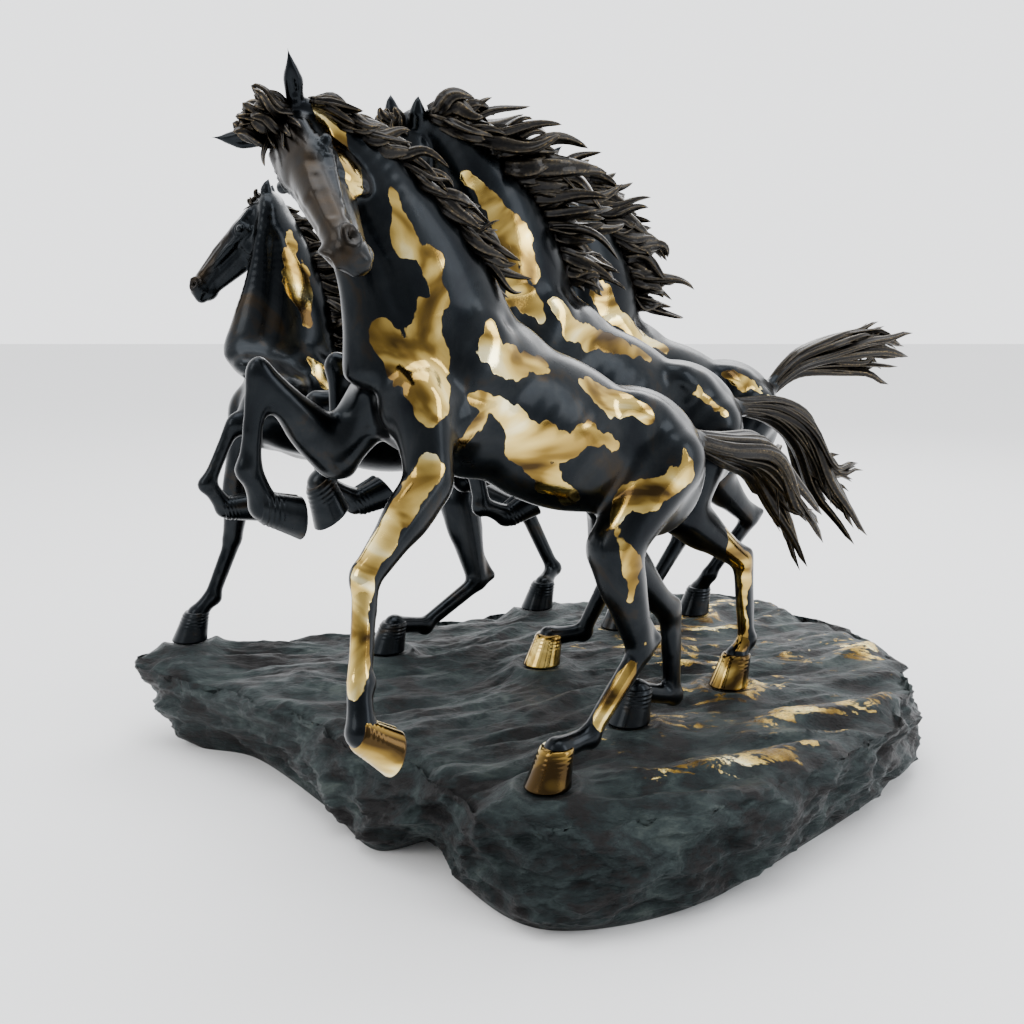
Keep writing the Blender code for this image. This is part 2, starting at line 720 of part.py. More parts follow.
def make_rock(seats, pieces, cutters, finish):
    bm = bmesh.new()
    outer = rock_shell(bm, seats, 0.0, 0.0, False)
    inner = rock_shell(bm, seats, ROCK_WALL, ROCK_WALL, True)
    join_rings(bm, inner, outer)
    bmesh.ops.triangulate(bm, faces=bm.faces)
    body = object_from(bm, "rock_body", cutters)

    bm = bmesh.new()
    for seat in seats:
        nut_top = seat.z - SEAT_DEPTH
        add_drill(bm, seat.x, seat.y, nut_top - 0.03, nut_top, NUT_RADIUS * 1.5)
        add_drill(bm, seat.x, seat.y, nut_top - 0.01, seat.z + 0.01, STUD_RADIUS + GAP, 10)
        add_drill(bm, seat.x, seat.y, seat.z - GAP, seat.z + 0.03, HOOF_CLEAR * 0.86)
    holes = object_from(bm, "rock_holes", cutters)
    hide_cutter(holes)
    rock = cut(body, holes, cutters, "rock_base", crossing=True)
    cutters.objects.unlink(rock)
    pieces.objects.link(rock)
    finish_piece(rock, finish)
    bpy.data.objects.remove(body)


# ---------------------------------------------------------------- studs and nuts
def make_fixing(name, seat, pieces, finish):
    """A stud from inside the hoof to below the rock, and the hexagon nut on it."""
    bottom = seat.z - SEAT_DEPTH - NUT_HEIGHT - 0.004
    top = seat.z + STUD_ABOVE - 0.002
    bm = bmesh.new()
    bmesh.ops.create_cone(
        bm, segments=12, radius1=STUD_RADIUS, radius2=STUD_RADIUS, depth=top - bottom,
        cap_ends=True, matrix=Matrix.Translation((seat.x, seat.y, (top + bottom) / 2)))
    stud = object_from(bm, name + "_stud", pieces)
    finish_piece(stud, finish)
    stud.data.set_sharp_from_angle(angle=math.radians(35))

    profile = bmesh.new()
    nut_z = seat.z - SEAT_DEPTH - GAP - NUT_HEIGHT / 2
    bmesh.ops.create_cone(
        profile, segments=6, radius1=NUT_RADIUS, radius2=NUT_RADIUS, depth=NUT_HEIGHT,
        cap_ends=True, matrix=Matrix.Translation((seat.x, seat.y, nut_z)))
    rim = [face for face in profile.faces if abs(face.normal.z) > 0.9]
    bmesh.ops.inset_region(profile, faces=rim, thickness=0.0006)
    hexagon = object_from(profile, name + "_blank", pieces)
    hole = bmesh.new()
    add_drill(hole, seat.x, seat.y, nut_z - NUT_HEIGHT, nut_z + NUT_HEIGHT, STUD_RADIUS + GAP, 10)
    bore = object_from(hole, name + "_bore", pieces)
    nut = cut(hexagon, bore, pieces, name + "_nut")
    finish_piece(nut, finish)
    nut.data.set_sharp_from_angle(angle=math.radians(35))
    bpy.data.objects.remove(hexagon)
    bpy.data.objects.remove(bore)


def stand_on_origin(pieces):
    """Move every piece so that the group's box stands centred on the origin."""
    corners = [vert.co for piece in pieces.objects for vert in piece.data.vertices]
    low = Vector([min(corner[axis] for corner in corners) for axis in range(3)])
    high = Vector([max(corner[axis] for corner in corners) for axis in range(3)])
    middle = (low + high) / 2
    shift = Matrix.Translation((-middle.x, -middle.y, -low.z))
    for piece in pieces.objects:
        piece.data.transform(shift)
        piece.data.update()


def main():
    clear_scene()
    pieces = new_collection(COLLECTION)
    cutters = new_collection("cutters")
    finishes = {
        "bronze": material("patinated_bronze", BRONZE, 0.28, 1.0),
        "hair": material("brown_bronze", DARK_HAIR, 0.38, 1.0),
        "rock": material("green_rock_bronze", ROCK_GREEN, 0.55, 0.6),
        "steel": material("zinc_steel", STEEL, 0.40, 1.0),
    }
    seats = []
    for name, pose in HORSES.items():
        bones = make_horse(name, pose, pieces, cutters, finishes)
        for leg in pose["planted"]:
            seat = bones.legs[leg][5]
            seats.append(seat)
            make_fixing(name + "_" + leg, seat, pieces, finishes["steel"])
    make_rock(seats, pieces, cutters, finishes["rock"])
    stand_on_origin(pieces)


main()
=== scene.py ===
"""Looks of the bronze group: four galloping horses on a rock, dark patina and polished gold.

Every horse is modelled again at fine grain round the skeleton that the castings follow, with
its manes and tail as separate locks. Lengths on a horse are fractions of its withers height.
"""

import math

import bmesh
import bpy
import numpy as np
from mathutils import Matrix, Vector, noise


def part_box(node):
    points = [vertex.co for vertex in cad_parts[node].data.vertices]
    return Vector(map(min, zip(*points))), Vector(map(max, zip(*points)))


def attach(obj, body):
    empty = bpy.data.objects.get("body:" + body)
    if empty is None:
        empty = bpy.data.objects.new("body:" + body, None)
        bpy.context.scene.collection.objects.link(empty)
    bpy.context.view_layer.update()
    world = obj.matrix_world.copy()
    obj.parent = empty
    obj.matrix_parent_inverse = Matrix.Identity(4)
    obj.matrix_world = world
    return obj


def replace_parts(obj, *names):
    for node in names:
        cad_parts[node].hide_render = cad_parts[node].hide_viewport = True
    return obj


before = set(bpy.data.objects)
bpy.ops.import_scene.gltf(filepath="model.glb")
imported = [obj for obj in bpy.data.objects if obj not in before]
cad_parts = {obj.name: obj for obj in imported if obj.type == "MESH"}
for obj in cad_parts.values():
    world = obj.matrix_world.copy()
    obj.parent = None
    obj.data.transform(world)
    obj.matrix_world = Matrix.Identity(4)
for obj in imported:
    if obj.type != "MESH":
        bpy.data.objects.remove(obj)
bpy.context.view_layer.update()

# ---------------------------------------------------------------- driving dimensions
WITHERS = 0.375            # standing height of each horse at the withers
HEAD = 0.40 * WITHERS      # poll to muzzle
ROCK_TOP = 0.105           # height of the rock's walking surface
ROCK_WALL = 0.014          # thickness of the rock casting
GRAIN = 0.0019             # grain of the modelled bronze

NECK_ROOT = Vector((0.33, 0.0, 0.02))
NECK_LENGTHS = (0.27, 0.25)
TAIL_ROOT = Vector((-0.42, 0.0, 0.085))
SHOULDER = Vector((0.37, 0.085, -0.09))
HIP = Vector((-0.30, 0.095, 0.0))
FORE_LENGTHS = (0.17, 0.25, 0.20, 0.065, 0.09)
HIND_LENGTHS = (0.25, 0.27, 0.24, 0.065, 0.09)
SOLE_TURN = 42.0
HOOF_HEIGHT = 0.092
SOLE_RADIUS = 0.058
CORONET_RADIUS = 0.041

# Centre and radii of the trunk's masses in thousandths, and whether there is one on each side.
TRUNK_MASSES = (
    ((-20, 0, -35), (310, 130, 175), False),
    ((200, 0, -30), (200, 120, 185), False),
    ((320, 0, -70), (110, 105, 135), False),
    ((170, 0, 70), (170, 50, 95), False),
    ((-270, 0, 10), (190, 125, 145), False),
    ((-310, 70, -40), (140, 68, 155), True),
    ((260, 80, -20), (90, 45, 160), True),
    ((300, 95, -100), (100, 42, 70), True),
    ((380, 50, -90), (70, 55, 95), True),
    ((-200, 85, 70), (110, 50, 60), True),
)
FORE_RADII = (0.070, 0.055, 0.034, 0.029, 0.031)
HIND_RADII = (0.092, 0.070, 0.036, 0.029, 0.031)

HORSES = {
    "near": {
        "place": (0.021, -0.266, 0.421), "heading": 213, "climb": 23,
        "neck": (46, -7, 25, -16), "head": (-38, 101, 87), "head_size": 1.0, "ears": "wide",
        "left_fore": (-22, 24, -10, -34, -51, 15), "right_fore": (15, 115, -18, -64, -68, 6),
        "left_hind": (17, -41, 17, 43, 17, 1), "right_hind": (-21, -67, -28, 59, 45, 0),
        "planted": ("left_hind", "right_hind"),
        "tail": ((-16, 5), (-8, 11), (-54, 2), (-44, -2)),
    },
    "second": {
        "place": (0.084, -0.094, 0.434), "heading": 209, "climb": 24,
        "neck": (50, 2, 23, -7), "head": (-92, 13, -6), "head_size": 1.0, "ears": "flat",
        "left_fore": (49, 78, -27, -14, -18, -5), "right_fore": (40, 60, -30, -105, -107, 0),
        "left_hind": (-2, -78, -30, 32, -20, 1), "right_hind": (15, -37, -5, 30, 27, 15),
        "planted": ("left_hind", "right_hind"),
        "tail": ((-4, 0), (-30, -4), (-70, -8), (-40, -10)),
    },
    "third": {
        "place": (0.176, 0.144, 0.410), "heading": 211, "climb": 18,
        "neck": (66, 1, 37, -7), "head": (-45, 0, 0), "head_size": 1.0, "ears": "back",
        "left_fore": (40, 60, -30, -105, -107, 0), "right_fore": (52, 74, -24, -96, -104, 0),
        "left_hind": (11, -68, 14, -5, -5, -15), "right_hind": (29, -30, 19, 35, 33, 0),
        "planted": ("left_hind", "right_hind"),
        "tail": ((46, -14), (10, -14), (2, -10), (0, -6)),
    },
    "far": {
        "place": (-0.180, 0.158, 0.382), "heading": 209, "climb": 14,
        "neck": (84, -10, 70, -18), "head": (-58, -27, 0), "head_size": 0.88, "ears": "flat",
        "left_fore": (-72, 92, 11, -67, -79, -3), "right_fore": (-4, -5, 8, 17, 12, 3),
        "left_hind": (0, -21, 48, 58, 48, 14), "right_hind": (-22, -84, -36, 21, 20, -15),
        "planted": ("right_fore", "left_hind", "right_hind"),
        "tail": ((-10, 0), (-30, 0), (-60, 4), (-50, 6)),
    },
}
# Ear places on the head: root, middle, upper and tip of the left one.
EARS = {
    "wide": ((0.00, 0.11, 0.10), (-0.03, 0.20, 0.18), (-0.06, 0.27, 0.25), (-0.08, 0.32, 0.32)),
    "back": ((-0.02, 0.09, 0.09), (-0.10, 0.13, 0.15), (-0.18, 0.15, 0.19), (-0.26, 0.16, 0.20)),
    "flat": ((-0.02, 0.09, 0.08), (-0.08, 0.11, 0.12), (-0.13, 0.12, 0.15), (-0.18, 0.12, 0.17)),
}
EAR_RADII = (0.040, 0.050, 0.030, 0.008)
SIDES = {"left": 1.0, "right": -1.0}
LEGS = ("left_fore", "right_fore", "left_hind", "right_hind")


# ---------------------------------------------------------------- a horse's skeleton
def lean_direction(lean, swing):
    direction = Vector((math.sin(math.radians(lean)), 0.0, -math.cos(math.radians(lean))))
    return Matrix.Rotation(math.radians(swing), 3, "X") @ direction


def rise_direction(rise, turn):
    rise, turn = math.radians(rise), math.radians(turn)
    return Vector((math.cos(rise) * math.cos(turn), math.cos(rise) * math.sin(turn), math.sin(rise)))


class Skeleton:
    """Joint places and frames of one posed horse."""

    def __init__(self, pose):
        self.place = Vector(pose["place"])
        self.head_size = HEAD * pose["head_size"]
        self.ears = EARS[pose["ears"]]
        self.turn = (Matrix.Rotation(math.radians(pose["heading"]), 3, "Z")
                     @ Matrix.Rotation(-math.radians(pose["climb"]), 3, "Y"))
        middle = NECK_ROOT + NECK_LENGTHS[0] * rise_direction(*pose["neck"][:2])
        poll = middle + NECK_LENGTHS[1] * rise_direction(*pose["neck"][2:])
        self.neck = [self.world(NECK_ROOT), self.world(middle), self.world(poll)]
        rise, turn, roll = (math.radians(angle) for angle in pose["head"])
        self.head = (self.turn @ Matrix.Rotation(turn, 3, "Z") @ Matrix.Rotation(-rise, 3, "Y")
                     @ Matrix.Rotation(roll, 3, "X"))
        self.legs = {leg: self.leg_joints(leg, pose[leg]) for leg in LEGS}
        self.soles = {leg: self.sole_facing(leg, pose) for leg in LEGS}
        self.tail = self.tail_joints(pose["tail"])
        self.back = self.turn @ Vector((-1.0, 0.0, 0.0))
        self.side = self.turn @ Vector((0.0, 1.0, 0.0))

    def world(self, local):
        return self.place + self.turn @ (local * WITHERS)

    def on_head(self, x, y, z):
        return self.neck[2] + self.head @ (Vector((x, y, z)) * self.head_size)

    def leg_joints(self, leg, angles):
        side, end = leg.split("_")
        root = SHOULDER if end == "fore" else HIP
        lengths = FORE_LENGTHS if end == "fore" else HIND_LENGTHS
        sign = SIDES[side]
        joint = Vector((root.x, sign * root.y, root.z))
        joints = [self.world(joint)]
        for lean, length in zip(angles, lengths):
            joint = joint + length * lean_direction(lean, sign * angles[5])
            joints.append(self.world(joint))
        return joints

    def sole_facing(self, leg, pose):
        """The way the sole faces, and the way the toe points."""
        if leg in pose["planted"]:
            facing = Vector((0.0, 0.0, -1.0))
        else:
            sign = SIDES[leg.split("_")[0]]
            facing = self.turn @ lean_direction(pose[leg][4] - SOLE_TURN, sign * pose[leg][5])
        side = self.turn @ Vector((0.0, 1.0, 0.0))
        toe = side.cross(-facing).normalized()
        return facing, toe

    def tail_joints(self, angles):
        joint = self.world(TAIL_ROOT)
        joints = [joint]
        back = self.turn.to_euler().z + math.pi
        for rise, turn in angles:
            step = Matrix.Rotation(back, 3, "Z") @ rise_direction(rise, turn)
            joint = joint + step * (0.15 * WITHERS)
            joints.append(joint)
        return joints

    def neck_point(self, share):
        """A point and a direction on the neck's curve, 0 at the trunk and 1 at the poll."""
        a, b, c = self.neck
        middle = b * 2 - (a + c) / 2
        point = (1 - share) ** 2 * a + 2 * share * (1 - share) * middle + share ** 2 * c
        slope = (1 - share) * (middle - a) + share * (c - middle)
        return point, slope.normalized()

    def crest_direction(self, share):
        """From the neck's core to its crest, turning from the trunk's back to the poll."""
        point, slope = self.neck_point(share)
        trunk_up = self.turn @ Vector((0.0, 0.0, 1.0))
        head_up = self.head @ Vector((-0.6, 0.0, 1.0))
        up = trunk_up.lerp(head_up, share ** 2)
        return (up - slope * up.dot(slope)).normalized()

    def trunk_places(self, points):
        """Points of a mesh as fractions of the withers height in the trunk's frame."""
        return (points - np.array(self.place)) @ np.array(self.turn) / WITHERS

    def head_places(self, points):
        return (points - np.array(self.neck[2])) @ np.array(self.head) / self.head_size


BONES = {name: Skeleton(pose) for name, pose in HORSES.items()}


def frame_shift():
    """From the skeletons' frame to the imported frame, read off one stud."""
    low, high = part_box("near_left_hind_stud")
    sole = BONES["near"].legs["left_hind"][5]
    return Vector(((low[0] + high[0]) / 2 - sole.x, (low[1] + high[1]) / 2 - sole.y, 0.0))


SHIFT = frame_shift()


# ---------------------------------------------------------------- mesh helpers
def link(name, mesh):
    made = bpy.data.objects.new(name, mesh)
    bpy.context.scene.collection.objects.link(made)
    return made


def merge_into(bm, other):
    mesh = bpy.data.meshes.new("stamp")
    other.to_mesh(mesh)
    other.free()
    bm.from_mesh(mesh)
    bpy.data.meshes.remove(mesh)


def aligned(direction, up):
    """Rotation whose x is the direction and whose z leans to up."""
    x = direction.normalized()
    y = up.cross(x).normalized()
    z = x.cross(y)
    return Matrix((x, y, z)).transposed()


def add_blob(bm, turn, centre, radii):
    placed = Matrix.Translation(centre) @ turn.to_4x4() @ Matrix.Diagonal((*radii, 1.0))
    ball = bmesh.new()
    bmesh.ops.create_uvsphere(ball, u_segments=28, v_segments=18, radius=1.0, matrix=placed)
    merge_into(bm, ball)


def add_bone(bm, start, end, start_radius, end_radius):
    axis = end - start
    turn = axis.to_track_quat("Z", "Y").to_matrix().to_4x4()
    middle = Matrix.Translation((start + end) / 2)
    bmesh.ops.create_cone(
        bm, segments=28, radius1=start_radius, radius2=end_radius, depth=axis.length,
        cap_ends=True, matrix=middle @ turn)
    for point, radius in ((start, start_radius), (end, end_radius)):
        add_blob(bm, Matrix.Identity(3), point, (radius, radius, radius))


def evaluated_mesh(source):
    bpy.context.view_layer.update()
    depsgraph = bpy.context.evaluated_depsgraph_get()
    return bpy.data.meshes.new_from_object(source.evaluated_get(depsgraph))


def fine_skin(bm, name, grain, softening):
    """One closed skin round the overlapping masses, its creases softened."""
    rough = bpy.data.meshes.new(name + "_masses")
    bm.to_mesh(rough)
    bm.free()
    made = link(name, rough)
    remesh = made.modifiers.new("skin", "REMESH")
    remesh.mode = "VOXEL"
    remesh.voxel_size = grain
    smooth = made.modifiers.new("smooth", "SMOOTH")
    smooth.factor = 0.7
    smooth.iterations = softening
    mesh = evaluated_mesh(made)
    made.modifiers.clear()
    made.data = mesh
    return made


def read_points(mesh, kind="co"):
    """The places of the vertices, or their normals."""
    values = np.empty(len(mesh.vertices) * 3)
    mesh.vertices.foreach_get(kind, values)
    return values.reshape(-1, 3)


def write_points(mesh, points):
    mesh.vertices.foreach_set("co", points.ravel())
    mesh.update()


def store(mesh, name, values):
    """Keeps a number for each vertex, for the material to read."""
    attribute = mesh.attributes.new(name, "FLOAT", "POINT")
    attribute.data.foreach_set("value", values.astype(np.float32))


def smooth_step(low, high, value):
    share = np.clip((value - low) / (high - low), 0.0, 1.0)
    return share * share * (3 - 2 * share)


def line_distance(points, line):
    """Distance of each point from a line of straight stretches, and the share along it."""
    best = np.full(len(points), 1e9)
    share = np.zeros(len(points))
    stops = [np.array(stop, dtype=float) for stop in line]
    for index, (start, end) in enumerate(zip(stops, stops[1:])):
        axis = end - start
        along = np.clip((points - start) @ axis / max(axis @ axis, 1e-12), 0.0, 1.0)
        distance = np.linalg.norm(points - start - along[:, None] * axis, axis=1)
        closer = distance < best
        best[closer] = distance[closer]
        share[closer] = (index + along[closer]) / (len(stops) - 1)
    return best, share


def soft_ridge(points, line, width):
    """1 on the line and falling away over the width."""
    distance, share = line_distance(points, line)
    ridge = np.exp(-(distance / width) ** 2)
    return ridge * smooth_step(0.0, 0.12, share) * smooth_step(1.0, 0.88, share)


def relax(mesh, share, rounds):
    """Eases the surface towards the mean of its neighbours, each point by its own share."""
    ends = np.empty(len(mesh.edges) * 2, dtype=np.int64)
    mesh.edges.foreach_get("vertices", ends)
    first, second = ends.reshape(-1, 2).T
    points = read_points(mesh)
    count = len(points)
    links = np.bincount(first, minlength=count) + np.bincount(second, minlength=count)
    for _ in range(rounds):
        for axis in range(3):
            column = points[:, axis]
            total = (np.bincount(first, weights=column[second], minlength=count)
                     + np.bincount(second, weights=column[first], minlength=count))
            points[:, axis] = column + share * (total / links - column)
    write_points(mesh, points)


def body_share(bones, points):
    """1 on the trunk, neck and upper legs, 0 on the head and below the knees."""
    places = bones.trunk_places(points)
    head = (bones.head_places(points) - (0.45, 0.0, 0.0)) * (1.0, 1.7, 1.3)
    away = smooth_step(0.62, 0.85, np.linalg.norm(head, axis=1))
    return away * (0.24 + 0.76 * smooth_step(-0.42, -0.20, places[:, 2]))


# ---------------------------------------------------------------- a horse's masses
def add_trunk(bm, bones):
    for centre, radii, paired in TRUNK_MASSES:
        for sign in (1.0, -1.0) if paired else (1.0,):
            x, y, z = (value / 1000 for value in centre)
            place = bones.world(Vector((x, sign * y, z)))
            add_blob(bm, bones.turn, place, [radius / 1000 * WITHERS for radius in radii])


def neck_radii(share):
    depth = (0.140 * (1 - share) ** 1.3 + 0.076) * WITHERS
    width = (0.056 * (1 - share) ** 1.2 + 0.042) * WITHERS
    return depth, width


def add_neck(bm, bones):
    steps = 22
    for step in range(steps + 1):
        share = step / steps
        point, slope = bones.neck_point(share)
        depth, width = neck_radii(share)
        turn = aligned(slope, bones.crest_direction(share))
        add_blob(bm, turn, point, (0.055 * WITHERS, width, depth))


def add_head(bm, bones):
    size = bones.head_size

    def blob(x, y, z, along, across, deep):
        add_blob(bm, bones.head, bones.on_head(x, y, z), (along * size, across * size, deep * size))

    def bone(start, end, start_radius, end_radius):
        add_bone(bm, bones.on_head(*start), bones.on_head(*end), start_radius * size, end_radius * size)

    blob(0.10, 0.0, 0.00, 0.19, 0.150, 0.16)
    blob(0.30, 0.0, 0.07, 0.20, 0.135, 0.075)
    bone((0.18, 0.0, 0.03), (0.60, 0.0, 0.03), 0.125, 0.095)
    bone((0.60, 0.0, 0.03), (0.88, 0.0, 0.00), 0.092, 0.078)
    blob(0.93, 0.0, -0.035, 0.09, 0.090, 0.100)
    blob(0.98, 0.0, -0.080, 0.05, 0.070, 0.060)
    blob(0.89, 0.0, -0.132, 0.075, 0.060, 0.044)
    bone((0.36, 0.0, -0.17), (0.84, 0.0, -0.112), 0.075, 0.048)
    bone((0.30, 0.0, -0.09), (0.86, 0.0, -0.075), 0.095, 0.062)
    bone((0.34, 0.0, -0.14), (0.62, 0.0, -0.12), 0.080, 0.062)
    for sign in (1.0, -1.0):
        blob(0.27, sign * 0.085, -0.15, 0.19, 0.062, 0.18)
        bone((0.28, sign * 0.125, 0.01), (0.64, sign * 0.080, 0.00), 0.040, 0.022)
        bone((0.15, sign * 0.105, 0.095), (0.28, sign * 0.118, 0.085), 0.032, 0.024)
        blob(0.31, sign * 0.135, 0.045, 0.065, 0.036, 0.045)
        blob(0.91, sign * 0.068, 0.020, 0.060, 0.032, 0.050)
        ear = [(x, sign * y, z) for x, y, z in bones.ears]
        for start, end, low, high in zip(ear, ear[1:], EAR_RADII, EAR_RADII[1:]):
            bone(start, end, low, high)


def coronet_point(bones, leg):
    facing, toe = bones.soles[leg]
    return bones.legs[leg][5] + (toe * -0.30 - facing) * (HOOF_HEIGHT * WITHERS)


def add_leg(bm, bones, leg):
    joints = bones.legs[leg]
    fore = leg.endswith("fore")
    radii = [radius * WITHERS for radius in (FORE_RADII if fore else HIND_RADII)]
    facing, toe = bones.soles[leg]
    coronet = coronet_point(bones, leg) + facing * (0.012 * WITHERS)
    for index, (high, low) in enumerate(((1.0, 0.92), (1.0, 0.92), (0.72, 0.80))):
        add_bone(bm, joints[index], joints[index + 1], radii[index] * high, radii[index + 1] * low)
    add_bone(bm, joints[3], coronet, radii[3] * 0.86, radii[4] * 0.98)
    add_blob(bm, Matrix.Identity(3), coronet, [radii[4] * 1.18] * 3)
    down = (joints[2] - joints[1]).normalized()
    cannon = (joints[3] - joints[2]).normalized()
    behind = (bones.side.cross(cannon)).normalized()
    if behind.dot(toe) > 0:
        behind = -behind
    knee = aligned(cannon, behind)
    add_blob(bm, knee, joints[2], (radii[2] * 1.25, radii[2] * 0.92, radii[2] * 1.02))
    fetlock = joints[3] + behind * (0.006 * WITHERS)
    add_blob(bm, knee, fetlock, (radii[3] * 1.2, radii[3] * 0.95, radii[3] * 1.15))
    tendon_top = joints[2] + cannon * (0.02 * WITHERS) + behind * (0.021 * WITHERS)
    tendon_foot = joints[3] - cannon * (0.01 * WITHERS) + behind * (0.018 * WITHERS)
    add_bone(bm, tendon_top, tendon_foot, 0.013 * WITHERS, 0.012 * WITHERS)
    muscle = joints[1] + down * (0.06 * WITHERS)
    swell = (0.050 if fore else 0.060) * WITHERS
    turn = aligned(down, bones.turn @ Vector((1.0, 0.0, 0.0)))
    add_blob(bm, turn, muscle, (0.13 * WITHERS, swell * 0.85, swell * 1.12))
    if not fore:
        heel = joints[2] - toe * (0.034 * WITHERS) - cannon * (0.024 * WITHERS)
        add_bone(bm, heel, joints[1] + down * (0.12 * WITHERS), 0.014 * WITHERS, 0.026 * WITHERS)
        add_bone(bm, heel, joints[2], 0.018 * WITHERS, 0.030 * WITHERS)
        add_bone(bm, heel, tendon_foot, 0.016 * WITHERS, 0.012 * WITHERS)


# ---------------------------------------------------------------- chiselled detail
def chiselled(places, lines, unit):
    """Heights of the furrows and swells, cut alike on both sides."""
    height = np.zeros(len(places))
    for line, width, depth in lines:
        for side in (1.0, -1.0):
            path = [(x / unit, y * side / unit, z / unit) for x, y, z in line]
            height += depth * soft_ridge(places, path, width)
    return height


# Furrows and swells on the trunk's left side: line in hundredths, width and height.
TRUNK_LINES = (
    (((20, 5, 15), (33, 13, 3), (37, 13, -8)), 0.020, -0.006),
    (((13, 11, 8), (18, 14, -4), (25, 13, -15)), 0.022, -0.005),
    (((20, 13, -3), (29, 13, -6), (33, 13, -13)), 0.018, -0.004),
    (((-15, 13, 7), (-13, 14, -5), (-8, 12, -15)), 0.028, -0.0055),
    (((-16, 9, 11), (-24, 13, 6), (-34, 12, 5)), 0.024, -0.0035),
    (((-36, 10, 7), (-32, 14, -4), (-24, 15, -12)), 0.020, -0.0045),
    (((40, 2, -3), (43, 2, -12), (38, 2, -19)), 0.022, -0.008),
    (((30, 6, 12), (40, 10, 6), (45, 9, -2)), 0.022, -0.005),
)
# The same for the head, in head lengths: line in thousandths, width and height.
HEAD_LINES = (
    (((430, 120, 0), (450, 120, -130), (380, 110, -260)), 0.020, -0.016),
    (((1020, 20, -105), (920, 80, -115), (760, 70, -105)), 0.011, -0.016),
    (((460, 120, 30), (600, 100, 20), (740, 80, 0)), 0.018, 0.008),
    (((500, 70, 100), (660, 60, 90), (820, 50, 70)), 0.020, -0.008),
    (((620, 90, -70), (720, 90, -30), (800, 90, 10)), 0.014, -0.008),
    (((40, 150, 140), (20, 220, 220), (-10, 280, 300)), 0.020, -0.030),
)


EYE = (0.31, 0.165, 0.045)
NOSTRIL = (0.945, 0.095, 0.030)


def distance_from(places, spot, sign, stretch):
    """Distance from a spot of the left side, or of the right side where the sign is -1."""
    return np.linalg.norm((places - (spot[0], sign * spot[1], spot[2])) * stretch, axis=1)


def chisel_head(bones, points, normals):
    """Cheek, mouth and ear furrows, ringed eyes and open nostrils."""
    places = bones.head_places(points)
    height = chiselled(places, HEAD_LINES, 1000)
    near_head = np.abs(places).max(axis=1) < 1.3
    for sign in (1.0, -1.0):
        eye = distance_from(places, EYE, sign, (0.85, 1.0, 1.0))
        rings = np.cos((eye - 0.046) * (2 * math.pi / 0.030)) * smooth_step(0.10, 0.05, eye)
        height += 0.0060 * rings * smooth_step(0.030, 0.040, eye)
        height += 0.022 * np.exp(-(eye / 0.026) ** 2)
        height -= 0.014 * np.exp(-((eye - 0.040) / 0.009) ** 2)
        nostril = distance_from(places, NOSTRIL, sign, (0.8, 1.0, 1.1))
        height += -0.050 * np.exp(-(nostril / 0.026) ** 2)
        height += 0.012 * np.exp(-((nostril - 0.050) / 0.014) ** 2)
    return points + normals * (height * near_head * bones.head_size)[:, None]


def chisel_trunk(bones, points, normals):
    places = bones.trunk_places(points)
    height = chiselled(places, TRUNK_LINES, 100)
    ribs = np.sin((places[:, 0] + places[:, 2] * 0.35) * (2 * math.pi / 0.045))
    barrel = smooth_step(-0.10, -0.04, places[:, 0]) * smooth_step(0.14, 0.08, places[:, 0])
    flank = smooth_step(0.09, 0.12, np.abs(places[:, 1])) * smooth_step(0.08, 0.0, places[:, 2])
    height += 0.0004 * ribs * barrel * flank
    throat = []
    for share in (0.15, 0.40, 0.65, 0.90):
        point, slope = bones.neck_point(share)
        depth, width = neck_radii(share)
        throat.append((point, -bones.crest_direction(share), bones.side, depth, width))
    for sign in (1.0, -1.0):
        line = [tuple(p + c * (d * 0.45) + s * (sign * w * 0.9)) for p, c, s, d, w in throat]
        height += -0.006 * soft_ridge(points, line, 0.020 * WITHERS)
    return points + normals * (height * WITHERS)[:, None]


def round_hair_root(bones, points, normals):
    """A raised band along the crest where the mane grows."""
    line = []
    for share in (0.12, 0.35, 0.6, 0.85, 1.0):
        point, slope = bones.neck_point(share)
        line.append(tuple(point + bones.crest_direction(share) * neck_radii(share)[0]))
    return points + normals * (0.006 * WITHERS * soft_ridge(points, line, 0.030 * WITHERS))[:, None]


